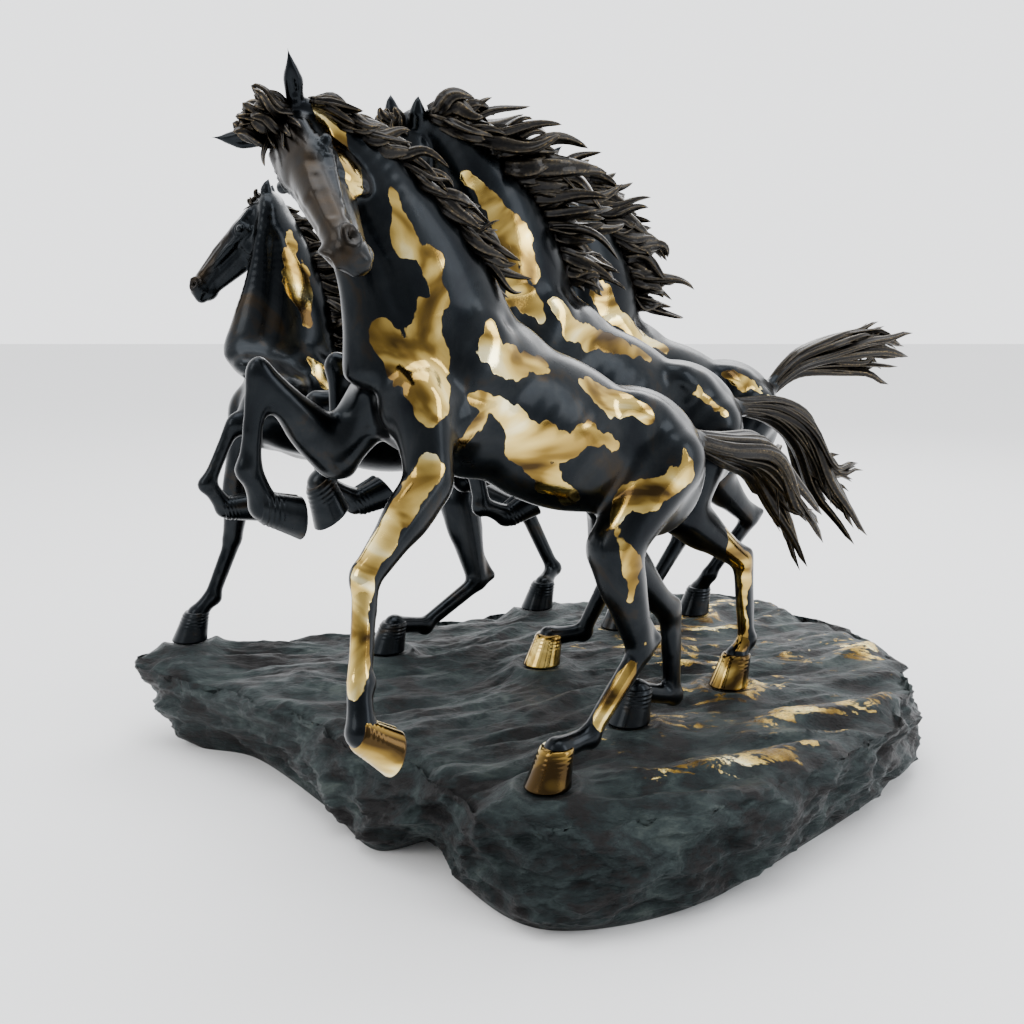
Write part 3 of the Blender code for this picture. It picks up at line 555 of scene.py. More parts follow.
# ---------------------------------------------------------------- gold areas
# Strokes of polish on each horse: places in hundredths of the withers height in the trunk's
# frame, and the radius there in thousandths.
GOLD_STROKES = {
    "near": (
        ((55, 4, 27, 14), (51, 6, 20, 22), (45, 7, 17, 28), (39, 9, 11, 26)),
        ((41, 9, 8, 45), (41, 11, 1, 60), (40, 13, -4, 66), (37, 14, -10, 56)),
        ((48, 6, -1, 50), (44, 10, -3, 56), (40, 13, -6, 50)),
        ((28, 11, 11, 22), (26, 12, 5, 35), (19, 11, 5, 35), (12, 8, 8, 18)),
        ((1, 10, 8, 18), (-9, 11, 7, 34), (-17, 12, 7, 20)),
        ((27, 12, -5, 20), (19, 12, -5, 24), (12, 11, -8, 36), (4, 12, -8, 38), (-3, 13, -3, 26),
         (-12, 12, -2, 22)),
        ((11, 10, -12, 30), (2, 10, -14, 36), (-8, 8, -17, 34)),
        ((23, 12, -6, 12), (26, 12, -14, 14), (32, 16, -21, 18)),
        ((-17, 13, -20, 24), (-19, 12, -13, 30), (-24, 16, -8, 36), (-29, 18, -3, 26), (-27, 17, 3, 12)),
        ((-19, 14, -21, 28), (-25, 16, -27, 28), (-28, 15, -34, 18)),
        ((73, -3, 37, 12), (69, -1, 34, 14), (66, 3, 28, 28), (64, 6, 22, 18)),
        ((34, 17, -22, 45), (38, 18, -31, 34), (42, 20, -40, 32), (43, 22, -47, 34), (42, 23, -56, 34),
         (40, 26, -66, 50)),
        ((67, -6, -16, 14), (65, -6, -24, 16), (62, -7, -30, 12)),
        ((-38, 16, -44, 30), (-36, 14, -52, 30), (-35, 14, -62, 50)),
    ),
    "second": (
        ((63, 3, 30, 18), (55, 6, 26, 28), (48, 7, 22, 34), (42, 8, 20, 34), (37, 9, 14, 28)),
        ((46, 8, 16, 28), (38, 9, 8, 34), (31, 10, 5, 30)),
        ((29, 11, 10, 22), (24, 11, 6, 26), (17, 10, 6, 28), (8, 9, 8, 26), (-4, 10, 9, 22)),
        ((-20, 12, 6, 25), (-28, 16, 3, 30)),
        ((-38, 15, -16, 22), (-49, 14, -27, 28), (-58, 13, -33, 28), (-61, 12, -43, 22),
         (-67, 12, -54, 34)),
    ),
    "third": (
        ((47, 5, 20, 26), (42, 8, 20, 30), (35, 9, 14, 34), (23, 11, 10, 30), (11, 8, 9, 20)),
        ((30, 11, 6, 20), (20, 12, 3, 24), (12, 11, 4, 16)),
        ((-12, 12, 8, 14), (-23, 13, 7, 24), (-29, 16, 4, 24)),
        ((-42, 10, -24, 20), (-50, 10, -30, 24), (-47, 10, -42, 18)),
    ),
    "far": (
        ((39, 3, 46, 14), (37, 5, 38, 32), (33, 6, 30, 42), (30, 8, 22, 24)),
        ((27, 11, 10, 28), (22, 12, 5, 34)),
        ((52, -1, 39, 22), (49, 2, 36, 14)),
        ((-28, 16, -2, 30), (-20, 15, -12, 28)),
    ),
}
GOLD_HOOVES = {"near_left_fore", "near_left_hind", "second_left_hind", "second_right_hind"}
GOLD_EDGE = 0.020          # withers heights over which the polish fades, before the noise cuts it
GOLD_TIP = 0.6             # the strokes narrow to this share at their ends
# The line down the front of the face along which the patina is brown, in head lengths.
WARM_FACE = ((0.22, -0.02, 0.13), (0.55, -0.01, 0.12), (0.92, 0.0, 0.07))


def warm_field(bones, points):
    """Where the dark patina turns brown, on the front of the face."""
    distance = line_distance(bones.head_places(points), WARM_FACE)[0]
    return smooth_step(0.150, 0.095, distance)


def gold_field(name, bones, points):
    """Positive inside the polished areas; the material roughens the edge."""
    places = bones.trunk_places(points)
    field = np.full(len(points), -3.0)
    for stroke in GOLD_STROKES[name]:
        radii = np.array([stop[3] / 1000 for stop in stroke])
        radii[[0, -1]] *= GOLD_TIP
        for side in (1.0, -1.0):
            line = [(x / 100, y * side / 100, z / 100) for x, y, z, _ in stroke]
            distance, share = line_distance(places, line)
            radius = np.interp(share, np.linspace(0, 1, len(radii)), radii)
            field = np.maximum(field, (radius - distance) / GOLD_EDGE)
    return np.clip(field, -3.0, 3.0)


# ---------------------------------------------------------------- materials
class Look:
    """A node material, with the few kinds of node that its colours are mixed from."""

    def __init__(self, name):
        self.material = bpy.data.materials.new(name)
        self.material.use_nodes = True
        self.nodes = self.material.node_tree.nodes
        self.links = self.material.node_tree.links
        self.shader = self.nodes["Principled BSDF"].inputs

    def feed(self, socket, value):
        """Gives the socket another node's output, a colour or a number."""
        if isinstance(value, bpy.types.NodeSocket):
            self.links.new(value, socket)
        elif isinstance(value, tuple):
            socket.default_value = (*value, 1.0)
        else:
            socket.default_value = value

    def shade(self, socket, value):
        self.feed(self.shader[socket], value)

    def node(self, kind, output, **inputs):
        """One of the outputs of a new node whose inputs are fed."""
        made = self.nodes.new("ShaderNode" + kind)
        for socket, value in inputs.items():
            self.feed(made.inputs[socket.replace("_", " ")], value)
        return made.outputs[output]

    def field(self, name):
        """A number that the mesh keeps for each vertex."""
        made = self.nodes.new("ShaderNodeAttribute")
        made.attribute_name = name
        return made.outputs["Fac"]

    def noise(self, scale, detail, roughness, stretch=None, distortion=0.0):
        """Noise over the piece's box, or over metres where a stretch is given."""
        spot = {}
        if stretch:
            place = self.node("TexCoord", "Object")
            spot["Vector"] = self.node("Mapping", "Vector", Vector=place, Scale=Vector(stretch))
        return self.node("TexNoise", "Fac", Scale=scale, Detail=detail, Roughness=roughness,
                         Distortion=distortion, **spot)

    def ramp(self, value, *stops):
        made = self.nodes.new("ShaderNodeValToRGB")
        ramp = made.color_ramp
        while len(ramp.elements) < len(stops):
            ramp.elements.new(0.5)
        for element, (place, colour) in zip(ramp.elements, stops):
            element.position = place
            element.color = (*colour, 1.0)
        self.links.new(value, made.inputs["Fac"])
        return made.outputs["Color"]

    def scaled(self, value, factor, offset=0.0):
        """The value times the factor, plus the offset."""
        made = self.nodes.new("ShaderNodeMath")
        made.operation = "MULTIPLY_ADD"
        for socket, term in zip(made.inputs, (value, factor, offset)):
            self.feed(socket, term)
        return made.outputs["Value"]

    def mix(self, share, first, second, kind="RGBA"):
        made = self.nodes.new("ShaderNodeMix")
        made.data_type = kind
        self.links.new(share, made.inputs["Factor"])
        self.feed(made.inputs["A"], first)
        self.feed(made.inputs["B"], second)
        return made.outputs["Result"]

    def edge(self, value, low, high):
        """0 below low and 1 above high."""
        return self.node("MapRange", "Result", Value=value, From_Min=low, From_Max=high)

    def bump(self, height, strength, distance):
        self.shade("Normal", self.node(
            "Bump", "Normal", Height=height, Strength=strength, Distance=distance))

    def gold(self):
        """Polished gold with broad dark and bright streaks, which are painted reflections of a dark room
        and bright lamps.
        """
        # The dark stops are painted dark reflections and the near-white top stop is a painted highlight.
        return self.ramp(
            self.noise(9.0, 2.5, 0.5, (1.0, 1.0, 1.7), 1.8),
            (0.35, (0.04, 0.022, 0.005)), (0.44, (0.19, 0.115, 0.022)), (0.50, (0.46, 0.310, 0.075)),
            (0.59, (0.72, 0.530, 0.160)), (0.69, (0.98, 0.870, 0.480)))


def bronze_look():
    """Dark patina, brown where the mesh says warm and polished gold where it says gold; the gold's
    streaks are painted reflections.
    """
    look = Look("patinated_bronze_look")
    ragged = look.scaled(look.noise(17.0, 2.0, 0.5), 3.6, look.field("gold"))
    ragged = look.scaled(look.noise(70.0, 2.0, 0.5), 0.5, ragged)
    golden = look.edge(ragged, 1.98, 2.06)
    patina = look.ramp(
        look.noise(9.0, 5.0, 0.6, None, 0.6),
        (0.28, (0.003, 0.004, 0.006)), (0.46, (0.006, 0.008, 0.010)), (0.58, (0.011, 0.013, 0.015)),
        (0.72, (0.024, 0.017, 0.010)))
    warm = look.scaled(look.field("warm"), look.scaled(look.noise(30.0, 4.0, 0.6), 1.6, -0.1))
    patina = look.mix(warm, patina, (0.016, 0.010, 0.0045))
    # Where polished, the colour is the gold ramp with its painted reflections and highlights.
    look.shade("Base Color", look.mix(golden, patina, look.gold()))
    look.shade("Metallic", 1.0)
    dark_rough = look.scaled(look.noise(40.0, 5.0, 0.6), 0.22, 0.20)
    look.shade("Roughness", look.mix(golden, dark_rough, 0.08, "FLOAT"))
    look.shade("Coat Weight", 0.15)
    look.shade("Coat Roughness", 0.16)
    grain = look.scaled(look.noise(260.0, 3.0, 0.6), 0.35)
    look.bump(look.scaled(golden, -0.5, grain), 0.25, 0.0006)
    return look.material


def hair_look():
    """Dark bronze, lighter brown on the ridges of the locks, as worn brown and painted highlight."""
    look = Look("brown_bronze_look")
    speckle = look.noise(70.0, 5.0, 0.65)
    # The shine field is worn brown and painted highlight on the lock ridges, darker in the grooves and
    # lighter towards the tips.
    look.shade("Base Color", look.ramp(
        look.scaled(speckle, 0.9, look.field("shine")),
        (0.35, (0.004, 0.004, 0.005)), (0.68, (0.012, 0.011, 0.010)), (0.95, (0.045, 0.036, 0.024)),
        (1.0, (0.16, 0.115, 0.055))))
    look.shade("Metallic", 1.0)
    look.shade("Roughness", look.scaled(speckle, 0.25, 0.24))
    look.shade("Coat Weight", 0.2)
    look.bump(look.noise(240.0, 3.0, 0.6), 0.25, 0.0006)
    return look.material


def rock_look():
    """Mottled slate green, with gold on the crests that the mesh marks; the gold's streaks are painted
    reflections.
    """
    look = Look("green_rock_look")
    patina = look.ramp(
        look.noise(16.0, 9.0, 0.70, (1.0, 1.6, 1.8), 0.5),
        (0.30, (0.003, 0.004, 0.005)), (0.42, (0.009, 0.008, 0.008)), (0.50, (0.009, 0.014, 0.015)),
        (0.58, (0.022, 0.032, 0.032)), (0.70, (0.060, 0.074, 0.068)))
    specks = look.noise(60.0, 6.0, 0.70, (0.45, 1.3, 1.0), 0.6)
    golden = look.edge(look.scaled(specks, 1.8, look.field("gold")), 1.37, 1.42)
    # The gold flecks carry the gold ramp's painted reflections and highlights.
    look.shade("Base Color", look.mix(golden, patina, look.gold()))
    look.shade("Metallic", look.scaled(golden, 0.3, 0.7))
    dark_rough = look.scaled(look.noise(60.0, 6.0, 0.7), 0.30, 0.26)
    look.shade("Roughness", look.scaled(golden, -0.15, dark_rough))
    look.bump(look.noise(120.0, 8.0, 0.7, (0.6, 1.6, 1.6)), 0.9, 0.004)
    return look.material


def steel_look():
    look = Look("zinc_steel_look")
    grain = look.noise(160.0, 4.0, 0.6)
    look.shade("Base Color", look.ramp(grain, (0.35, (0.30, 0.31, 0.32)), (0.70, (0.48, 0.48, 0.47))))
    look.shade("Metallic", 1.0)
    look.shade("Roughness", look.scaled(grain, 0.3, 0.28))
    return look.material


def floor_look():
    look = Look("floor_look")
    grain = look.noise(3.0, 2.0, 0.5)
    look.shade("Base Color", look.ramp(grain, (0.3, (0.88, 0.88, 0.88)), (0.7, (0.90, 0.90, 0.90))))
    look.shade("Roughness", 0.9)
    return look.material


# ---------------------------------------------------------------- hooves
def add_tube(verts, faces, rings):
    """Joins equal rings of points into a tube with closed ends."""
    base = len(verts)
    around = len(rings[0])
    for ring in rings:
        verts.extend(ring)
    for row in range(len(rings) - 1):
        for index in range(around):
            following = (index + 1) % around
            low, high = base + row * around, base + (row + 1) * around
            faces.append((low + index, low + following, high + following, high + index))
    for row, turned in ((0, True), (len(rings) - 1, False)):
        hub = len(verts)
        ring = rings[row]
        verts.append(tuple(sum(point[axis] for point in ring) / around for axis in range(3)))
        start = base + row * around
        for index in range(around):
            pair = (start + index, start + (index + 1) % around)
            faces.append((pair[1], pair[0], hub) if turned else (pair[0], pair[1], hub))


def hoof_rings(bones, leg, size, rib):
    """A rounded sole edge, a wall that narrows upwards and ribs below the coronet."""
    facing, toe = bones.soles[leg]
    side = toe.cross(facing).normalized()
    lean = toe * -0.30 - facing
    sole = bones.legs[leg][5]
    rows = 34
    around = 56
    rings = []
    for row in range(rows + 1):
        share = row / rows
        radius = SOLE_RADIUS + (CORONET_RADIUS - SOLE_RADIUS) * share ** 0.85
        if share < 0.06:
            radius *= 0.93 + 0.07 * math.sqrt(1 - (1 - share / 0.06) ** 2)
        ribs = rib * max(0.0, share - 0.45) / 0.55 * math.cos(share * 2 * math.pi * 9)
        if share > 0.96:
            radius *= 1.0 - (share - 0.96) * 3.0
        ring = []
        for index in range(around):
            angle = 2 * math.pi * index / around
            heel = max(0.0, -math.cos(angle)) ** 6
            cleft = math.exp(-((angle - math.pi) / 0.16) ** 2) * 0.30 * (1 - share)
            reach = (radius * size + ribs) * (1 - 0.10 * heel - cleft) * WITHERS
            place = (sole + lean * (HOOF_HEIGHT * WITHERS * share)
                     + toe * (math.cos(angle) * reach * 1.06) + side * (math.sin(angle) * reach))
            ring.append(tuple(place))
        rings.append(ring)
    return rings


def make_hooves(name, bones, planted, look):
    verts, faces, gold = [], [], []
    for leg in LEGS:
        before = len(verts)
        golden = name + "_" + leg in GOLD_HOOVES
        size = 0.96 if leg in planted else 0.84
        add_tube(verts, faces, hoof_rings(bones, leg, size, 0.0007 if golden else 0.0018))
        shine = 3.0 if golden else -3.0
        gold.extend([shine] * (len(verts) - before))
    mesh = bpy.data.meshes.new(name + "_hooves")
    mesh.from_pydata(verts, [], faces)
    fields = {"gold": np.array(gold), "warm": np.zeros(len(gold))}
    finish_piece(link(name + "_hooves", mesh), look, fields)


def finish_piece(made, look, fields):
    for label, values in fields.items():
        store(made.data, label, values)
    made.data.transform(Matrix.Translation(SHIFT))
    made.data.materials.clear()
    made.data.materials.append(look)
    made.data.shade_smooth()
    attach(made, "root")
    return made


# ---------------------------------------------------------------- hair
LOCK_AROUND = 20           # points round a lock
MANE_ROWS = 26             # rows of three locks along the crest
CROWN_LOCKS = 16           # thick locks on the poll
FRINGE_LOCKS = 5           # thin locks down the brow
TAIL_LOCKS = 38


class Locks:
    """Collects grooved, tapering locks of hair into one mesh."""

    def __init__(self, seed):
        self.random = np.random.default_rng(seed)
        self.verts, self.faces, self.shine = [], [], []

    def add(self, path, width, flatness=0.55, ridges=5, blunt=0.35, tip=0.62):
        """A lock along the path, flattened, twisted, and cut by grooves."""
        path = np.array(path)
        slopes = np.gradient(path, axis=0)
        slopes /= np.linalg.norm(slopes, axis=1)[:, None]
        across = np.cross(slopes[0], self.random.normal(size=3))
        phase = self.random.uniform(0, 2 * math.pi)
        twist = self.random.uniform(-1.2, 1.2)
        angles = np.linspace(0, 2 * math.pi, LOCK_AROUND, endpoint=False)
        rings = []
        count = len(path)
        for index, (point, slope) in enumerate(zip(path, slopes)):
            share = index / (count - 1)
            across = across - slope * (across @ slope)
            across /= np.linalg.norm(across)
            other = np.cross(slope, across)
            taper = min(1.0, 0.55 + share / blunt * 0.45) * (1 - share) ** tip + 0.015
            turn = angles + twist * share
            groove = np.cos(angles * ridges + phase + share * 2.0)
            reach = width * taper * (1 + 0.20 * groove)
            ring = (point + across * (np.cos(turn) * reach)[:, None]
                    + other * (np.sin(turn) * reach * flatness)[:, None])
            rings.append([tuple(spot) for spot in ring])
            # Shine: lighter on the ridges, as worn brown and painted highlight, darker in the grooves
            # and lighter towards the tip.
            self.shine.extend(0.18 + 0.20 * groove + 0.16 * share)
        add_tube(self.verts, self.faces, rings)
        self.shine.extend([0.2, 0.4])

    def sweep(self, root, start, end, length, width, curl=0.25, steps=16, **look):
        """A lock that leaves along start, bends round to end and waves on the way."""
        start, end = np.array(start.normalized()), np.array(end.normalized())
        sway = np.cross(start, end) + self.random.normal(size=3) * 0.4
        sway /= np.linalg.norm(sway)
        phase = self.random.uniform(0, 2 * math.pi)
        point = np.array(root)
        path = [point]
        for step in range(1, steps):
            share = step / (steps - 1)
            heading = start * (1 - share) + end * share
            heading = heading / np.linalg.norm(heading)
            heading = heading + sway * (curl * math.sin(share * 5.5 + phase))
            point = point + heading / np.linalg.norm(heading) * (length / (steps - 1))
            path.append(point)
        self.add(path, width, **look)

    def make(self, name, look):
        mesh = bpy.data.meshes.new(name)
        mesh.from_pydata(self.verts, [], self.faces)
        return finish_piece(link(name, mesh), look, {"shine": np.array(self.shine)})


# How each mane flies: lift off the neck, reach, flow down the neck, sideways fall, where on the
# neck it starts, thickness; and the lean, swing and lift of the tuft on the crown, and its size.
MANES = {
    "near": {"lift": 0.30, "reach": 0.135, "down": 0.85, "fall": 0.30, "start": 0.26, "width": 0.72,
             "tuft": (-0.3, -0.45, 0.8), "crown": 1.0, "seed": 11},
    "second": {"lift": 0.75, "reach": 0.215, "down": 0.15, "fall": 0.05, "start": 0.16, "width": 1.15,
               "tuft": (-0.8, 0.0, 0.6), "crown": 0.70, "seed": 12},
    "third": {"lift": 0.70, "reach": 0.205, "down": 0.20, "fall": 0.05, "start": 0.20, "width": 1.15,
              "tuft": (-0.8, 0.0, 0.6), "crown": 0.70, "seed": 13},
    "far": {"lift": 0.75, "reach": 0.17, "down": 0.25, "fall": 0.10, "start": 0.22, "width": 0.85,
            "tuft": (-0.8, 0.0, 0.4), "crown": 0.45, "seed": 14},
}


def make_mane(name, bones, look):
    how = MANES[name]
    locks = Locks(how["seed"])
    draw = locks.random
    up = Vector((0.0, 0.0, 1.0))
    for row in range(MANE_ROWS):
        share = how["start"] + (1.04 - how["start"]) * row / (MANE_ROWS - 1)
        point, slope = bones.neck_point(min(share, 1.0))
        crest = bones.crest_direction(min(share, 1.0))
        depth, width = neck_radii(min(share, 1.0))
        for lane in (-1.0, 0.0, 1.0):
            jitter = draw.uniform(-0.5, 0.5)
            root = (point + crest * (depth * (0.93 - 0.04 * abs(lane)))
                    + bones.side * (lane * width * 0.28) + slope * (jitter * 0.02 * WITHERS))
            start = crest * how["lift"] + bones.back * 0.45 - slope * how["down"]
            start = start + bones.side * (how["fall"] + lane * 0.22 + draw.uniform(-0.15, 0.15))
            end = bones.back * 1.0 + up * draw.uniform(-0.55, 0.85) - slope * (how["down"] * 0.4)
            end = end + bones.side * (lane * 0.20 + draw.uniform(-0.35, 0.35))
            reach = how["reach"] * draw.uniform(0.45, 1.15) * (0.75 + 0.35 * math.sin(share * 3.1))
            thick = draw.uniform(0.020, 0.032) * how["width"]
            locks.sweep(root, start, end, reach * WITHERS, thick * WITHERS,
                        curl=draw.uniform(0.30, 0.85))
    crown = how["crown"] * bones.head_size
    lean, swing, lift = how["tuft"]
    for turn in np.linspace(-0.09, 0.08, CROWN_LOCKS):
        root = bones.on_head(draw.uniform(-0.02, 0.12), turn, 0.12)
        start = bones.head @ Vector((0.15, turn * 2, 1.0))
        end = bones.head @ Vector((lean + draw.uniform(-0.4, 0.4), swing + turn * 3, lift))
        locks.sweep(root, start, end, draw.uniform(0.15, 0.25) * crown,
                    draw.uniform(0.050, 0.075) * crown, curl=0.6, blunt=0.7, tip=0.45)
    for turn in np.linspace(-0.07, 0.07, FRINGE_LOCKS):
        root = bones.on_head(draw.uniform(0.05, 0.12), turn, 0.125)
        start = bones.head @ Vector((0.8, turn * 2, 0.45))
        end = bones.head @ Vector((1.0, turn * 5, -0.12))
        locks.sweep(root, start, end, draw.uniform(0.14, 0.24) * crown, 0.030 * crown, curl=0.2)
    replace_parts(locks.make(name + "_mane_locks", look), name + "_mane")


def make_tail(name, bones, look):
    locks = Locks(MANES[name]["seed"] + 20)
    draw = locks.random
    joints = [np.array(joint) for joint in bones.tail]
    count = 18
    shares = np.linspace(0, 1, count)
    spine = np.array([np.interp(shares * 4, range(5), axis) for axis in np.array(joints).T]).T
    for _ in range(3):
        spine[1:-1] = (spine[:-2] + spine[1:-1] * 2 + spine[2:]) / 4
    side = np.array(bones.side)
    up = np.array((0.0, 0.0, 1.0))
    for _ in range(TAIL_LOCKS):
        angle = draw.uniform(0, 2 * math.pi)
        radius = math.sqrt(draw.uniform(0, 1))
        spread = 0.012 + 0.068 * np.sin(np.minimum(shares * 1.9, 1.9) * 0.83) ** 1.4
        offset = side * math.cos(angle) + up * math.sin(angle)
        wave = draw.uniform(0.010, 0.030)
        wave = wave * np.sin(shares * draw.uniform(4, 8) + draw.uniform(0, 6)) * shares
        swerve = np.cross(offset, spine[-1] - spine[0])
        swerve /= np.linalg.norm(swerve)
        length = draw.uniform(0.72, 1.06)
        grid = np.minimum(shares * length, 1.0)
        path = np.array([np.interp(grid, shares, spine[:, axis]) for axis in range(3)]).T
        if length > 1.0:
            path += (spine[-1] - spine[-2]) * ((shares * length - grid) * (count - 1))[:, None]
        path = path + offset * (radius * spread * WITHERS)[:, None]
        path = path + swerve * (wave * WITHERS)[:, None]
        flick = draw.uniform(-0.8, 1.0) * 0.09 * WITHERS * smooth_step(0.75, 1.0, shares) ** 2
        path = path + up * flick[:, None]
        locks.add(path, draw.uniform(0.016, 0.030) * WITHERS, blunt=0.6, tip=0.42)
    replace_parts(locks.make(name + "_tail_locks", look), name + "_tail")


# ---------------------------------------------------------------- a whole horse
def make_horse(name, looks):
    bones = BONES[name]
    bm = bmesh.new()
    add_trunk(bm, bones)
    add_neck(bm, bones)
    add_head(bm, bones)
    for leg in LEGS:
        add_leg(bm, bones, leg)
    dock = bones.tail[0], bones.tail[1]
    add_bone(bm, dock[0], dock[0].lerp(dock[1], 0.6), 0.036 * WITHERS, 0.026 * WITHERS)
    made = fine_skin(bm, name + "_bronze", GRAIN, 5)
    mesh = made.data
    relax(mesh, 0.5 * body_share(bones, read_points(mesh)), 90)
    for chisel in (round_hair_root, chisel_trunk, chisel_head):
        write_points(mesh, chisel(bones, read_points(mesh), read_points(mesh, "normal")))
    points = read_points(mesh)
    fields = {"gold": gold_field(name, bones, points), "warm": warm_field(bones, points)}
    finish_piece(made, looks["bronze"], fields)
    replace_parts(made, *(name + "_" + node for node in (
        "trunk", "neck_and_head", "left_fore_leg", "right_fore_leg", "left_hind_leg", "right_hind_leg")))
    make_hooves(name, bones, HORSES[name]["planted"], looks["bronze"])
    make_mane(name, bones, looks["hair"])
    make_tail(name, bones, looks["hair"])


# ---------------------------------------------------------------- rock
# Outlines of the rock's top and foot, in millimetres.
TOP_OUTLINE = (
    (435, 20), (425, 150), (370, 270), (270, 355), (110, 300), (-60, 235), (-170, 160), (-300, 120),
    (-420, 100), (-445, 40), (-330, -45), (-200, -150), (-100, -250), (-65, -295), (-20, -345),
    (80, -355), (200, -300), (330, -185), (410, -80),
)
FOOT_OUTLINE = (
    (430, 20), (400, 140), (350, 250), (250, 330), (100, 270), (-50, 210), (-160, 140), (-270, 100),
    (-360, 80), (-375, 20), (-300, -15), (-200, -140), (-140, -230), (-80, -212), (-50, -300),
    (20, -368), (140, -335), (270, -220), (390, -90),
)
ROCK_AROUND = 520
ROCK_SIDE_STEPS = 44
ROCK_TOP_STEPS = 120
ROCK_HUB = Vector((0.02, 0.02))
RIM_FADE = 6.0             # crags are whole from a sixth of the way up the flank
SEAT_RADIUS = 0.024        # flat seat under a planted hoof
SEAT_BLEND = 0.040         # from the seat's edge out to the open rock
SEAT_LIP = 0.031           # radius of the raised lip round a seat


def closed_curve(points, count):
    """Evenly shared points on a smooth closed curve through the outline's points."""
    points = [Vector((x / 1000, y / 1000)) for x, y in points]
    total = len(points)
    made = []
    for step in range(count):
        place = step * total / count
        index = int(place)
        part = place - index
        p0, p1, p2, p3 = (points[(index + shift) % total] for shift in (-1, 0, 1, 2))
        made.append(0.5 * (2 * p1 + (p2 - p0) * part + (2 * p0 - 5 * p1 + 4 * p2 - p3) * part ** 2
                           + (3 * p1 - p0 - 3 * p2 + p3) * part ** 3))
    return made


def rock_relief(x, y):
    """Weathered strata that run from the left end back to the right."""
    along = x * 0.94 + y * 0.34
    across = y * 0.94 - x * 0.34
    bend = noise.noise(Vector((along * 3.0, across * 3.0, 1.0))) * 0.10
    grain = Vector((along * 3.2, (across + bend) * 20.0, 0.0))
    ledges = noise.fractal(grain, 0.9, 2.1, 4)
    sharp = 1.0 - abs(noise.noise(Vector((along * 5.0, (across + bend) * 26.0, 7.0)))) * 2.6
    swell = noise.noise(Vector((x * 4.0, y * 4.0, 3.0)))
    crags = noise.ridged_multi_fractal(Vector((along * 7.0, across * 16.0, 5.0)), 0.9, 2.2, 5, 1.0, 2.0)
    return ledges * 0.011 + sharp * 0.006 - 0.007 + swell * 0.008 + (crags - 1.0) * 0.005


def rock_height(x, y, seats):
    height = ROCK_TOP - 0.004 + rock_relief(x, y)
    for seat in seats:
        distance = math.hypot(x - seat.x, y - seat.y)
        blend = min(1.0, max(0.0, (distance - SEAT_RADIUS) / SEAT_BLEND))
        blend = blend * blend * (3 - 2 * blend)
        height = (seat.z - 0.0015) * (1 - blend) + height * blend
        height += 0.004 * math.exp(-((distance - SEAT_LIP) / 0.006) ** 2)
    return height


def side_relief(place, height):
    """Crags and ledges on the rock's flank."""
    spot = Vector((place.x * 8.0, place.y * 8.0, height * 1.3))
    ledge = noise.fractal(Vector((place.x * 9.0, place.y * 9.0, height * 5.0)), 0.8, 2.0, 5)
    crags = noise.ridged_multi_fractal(spot * 1.4, 0.8, 2.1, 6, 1.0, 2.0)
    return noise.fractal(spot, 0.9, 2.1, 5) * 0.013 + ledge * 0.007 + (crags - 1.1) * 0.012


def rock_rings(seats):
    top = closed_curve(TOP_OUTLINE, ROCK_AROUND)
    low = closed_curve(FOOT_OUTLINE, ROCK_AROUND)
    side_top = ROCK_TOP - 0.012
    rings = []
    for step in range(ROCK_SIDE_STEPS):
        share = step / ROCK_SIDE_STEPS
        ring = []
        for inner, outer in zip(low, top):
            place = inner.lerp(outer, share)
            out = (place - ROCK_HUB).normalized()
            swell = 0.012 * math.sin(math.pi * share)
            crag = side_relief(place, share) * min(1.0, share * RIM_FADE)
            place = place + out * (swell + crag)
            ring.append((place.x, place.y, side_top * share))
        rings.append(ring)
    for step in range(ROCK_TOP_STEPS):
        shrink = 1.0 - (step + 0.6) / ROCK_TOP_STEPS
        ring = []
        for outer in top:
            out = (outer - ROCK_HUB).normalized()
            edge = side_relief(outer, 1.0) * max(0.0, (shrink - 0.9) / 0.1)
            place = ROCK_HUB + (outer - ROCK_HUB) * shrink + out * edge
            round_off = 0.014 * max(0.0, (shrink - 0.93) / 0.07) ** 2
            ring.append((place.x, place.y, rock_height(place.x, place.y, seats) - round_off))
        rings.append(ring)
    return rings


def make_rock(look):
    seats = [BONES[name].legs[leg][5] for name, pose in HORSES.items() for leg in pose["planted"]]
    rings = rock_rings(seats)
    inner = []
    for step in range(12, -1, -1):
        share = step / 12
        ring = []
        for x, y, z in rings[0]:
            out = Vector((x, y)) - ROCK_HUB
            place = ROCK_HUB + out * (1 - ROCK_WALL / out.length)
            spread = 1 - 0.9 * max(0.0, share - 0.5) / 0.5
            place = ROCK_HUB + (place - ROCK_HUB) * spread
            roof = rock_height(place.x, place.y, seats) - ROCK_WALL - 0.004
            ring.append((place.x, place.y, roof * min(1.0, share * 2)))
        inner.append(ring)
    verts, faces = [], []
    add_tube(verts, faces, inner + rings)
    mesh = bpy.data.meshes.new("rock_casting")
    mesh.from_pydata(verts, [], faces)
    points = np.array(verts)
    x, y, z = points.T
    right = smooth_step(-0.05, 0.20, x) * smooth_step(0.05, 0.085, z)
    ridge = np.clip((z - ROCK_TOP + 0.009) / 0.008, -1.0, 1.0)
    gold = np.clip(right * (0.20 + 0.30 * ridge), -1.0, 1.0)
    made = finish_piece(link("rock_casting", mesh), look, {"gold": gold})
    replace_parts(made, "rock_base")


# ---------------------------------------------------------------- stage, light and camera
def make_stage(look):
    mesh = bpy.data.meshes.new("floor")
    size = 9.0
    corners = [(-size, -size, 0.0), (size, -size, 0.0), (size, size, 0.0), (-size, size, 0.0)]
    mesh.from_pydata(corners, [], [(0, 1, 2, 3)])
    mesh.materials.append(look)
    link("floor", mesh)


def add_area(name, place, target, size, power, colour):
    light = bpy.data.lights.new(name, "AREA")
    light.shape = "RECTANGLE"
    light.size, light.size_y = size
    light.energy = power
    light.color = colour
    made = bpy.data.objects.new(name, light)
    made.location = place
    made.rotation_euler = (Vector(target) - Vector(place)).to_track_quat("-Z", "Y").to_euler()
    bpy.context.scene.collection.objects.link(made)


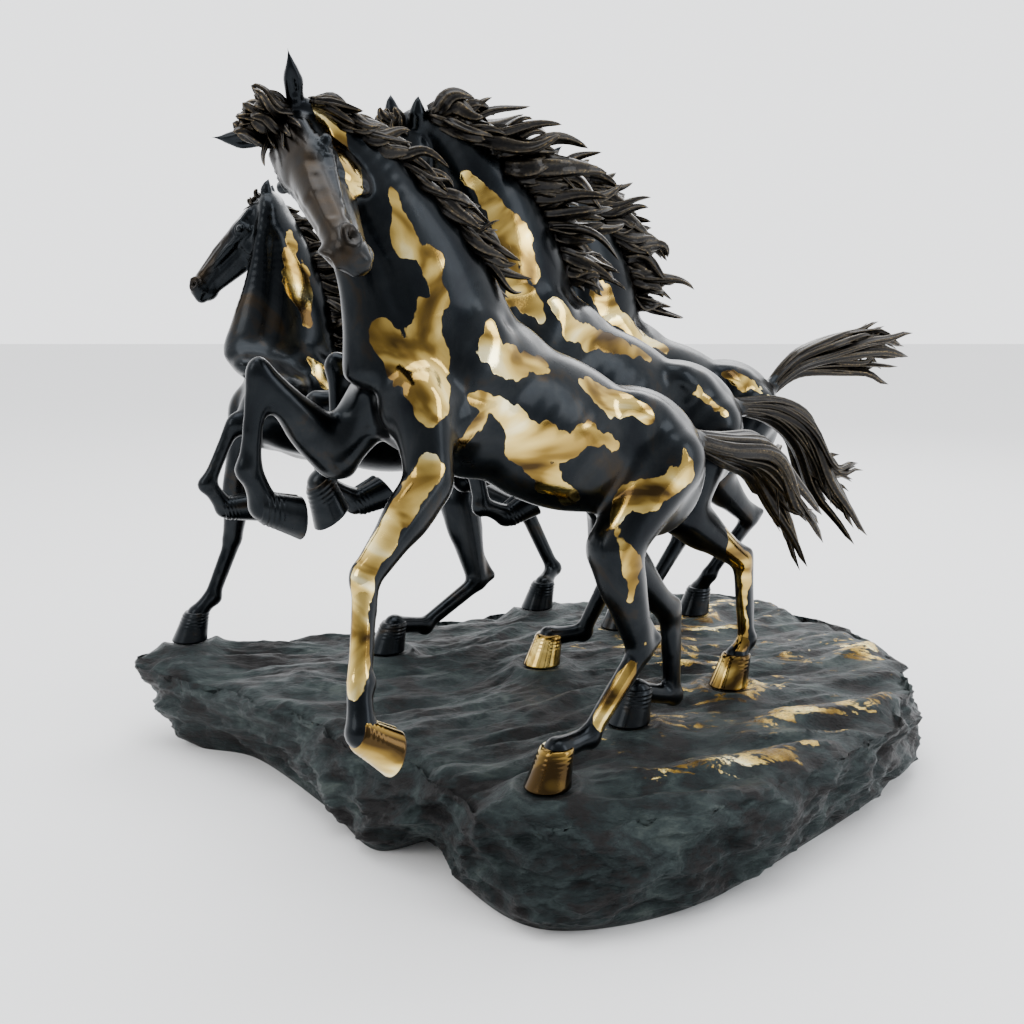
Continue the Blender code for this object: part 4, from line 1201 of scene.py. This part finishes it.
def make_lights():
    centre = (0.0, 0.0, 0.35)
    add_area("top_light", (0.0, -0.2, 2.6), centre, (2.2, 1.4), 42.0, (0.95, 0.97, 1.0))
    add_area("key_light", (-2.0, -1.6, 2.0), centre, (1.2, 1.6), 26.0, (1.0, 0.98, 0.95))
    add_area("right_light", (2.2, -1.0, 1.4), centre, (0.8, 1.8), 26.0, (0.95, 0.97, 1.0))
    add_area("back_light", (0.6, 2.2, 1.8), centre, (2.0, 1.0), 30.0, (1.0, 1.0, 1.0))
    world = bpy.data.worlds.new("studio")
    world.use_nodes = True
    nodes, links = world.node_tree.nodes, world.node_tree.links
    backdrop = nodes["Background"]
    backdrop.inputs["Color"].default_value = (0.97, 0.98, 1.0, 1.0)
    way = nodes.new("ShaderNodeSeparateXYZ")
    links.new(nodes.new("ShaderNodeTexCoord").outputs["Generated"], way.inputs["Vector"])
    fade = nodes.new("ShaderNodeMapRange")
    for socket, value in (("From Min", -0.9), ("From Max", 0.3), ("To Min", 0.70), ("To Max", 2.4)):
        fade.inputs[socket].default_value = value
    links.new(way.outputs["Y"], fade.inputs["Value"])
    links.new(fade.outputs["Result"], backdrop.inputs["Strength"])
    bpy.context.scene.world = world


CAMERA_PLACE = Vector((-0.010, -1.240, 0.530))
CAMERA_DIP = 11.3          # degrees below level
CAMERA_LENS = 40.4         # millimetres, on a 36 mm sensor


def make_camera():
    camera = bpy.data.cameras.new("camera")
    camera.lens = CAMERA_LENS
    camera.sensor_width = 36.0
    camera.clip_start = 0.05
    made = bpy.data.objects.new("camera", camera)
    made.location = CAMERA_PLACE + SHIFT
    made.rotation_euler = (math.radians(90.0 - CAMERA_DIP), 0.0, 0.0)
    bpy.context.scene.collection.objects.link(made)
    bpy.context.scene.camera = made


def paint_fixings(look):
    for name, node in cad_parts.items():
        if name.endswith(("_stud", "_nut")):
            for slot in node.material_slots:
                slot.material = look


LOOKS = {"bronze": bronze_look(), "hair": hair_look(), "rock": rock_look(),
         "steel": steel_look(), "floor": floor_look()}
for horse in HORSES:
    make_horse(horse, LOOKS)
make_rock(LOOKS["rock"])
paint_fixings(LOOKS["steel"])
make_stage(LOOKS["floor"])
make_lights()
make_camera()
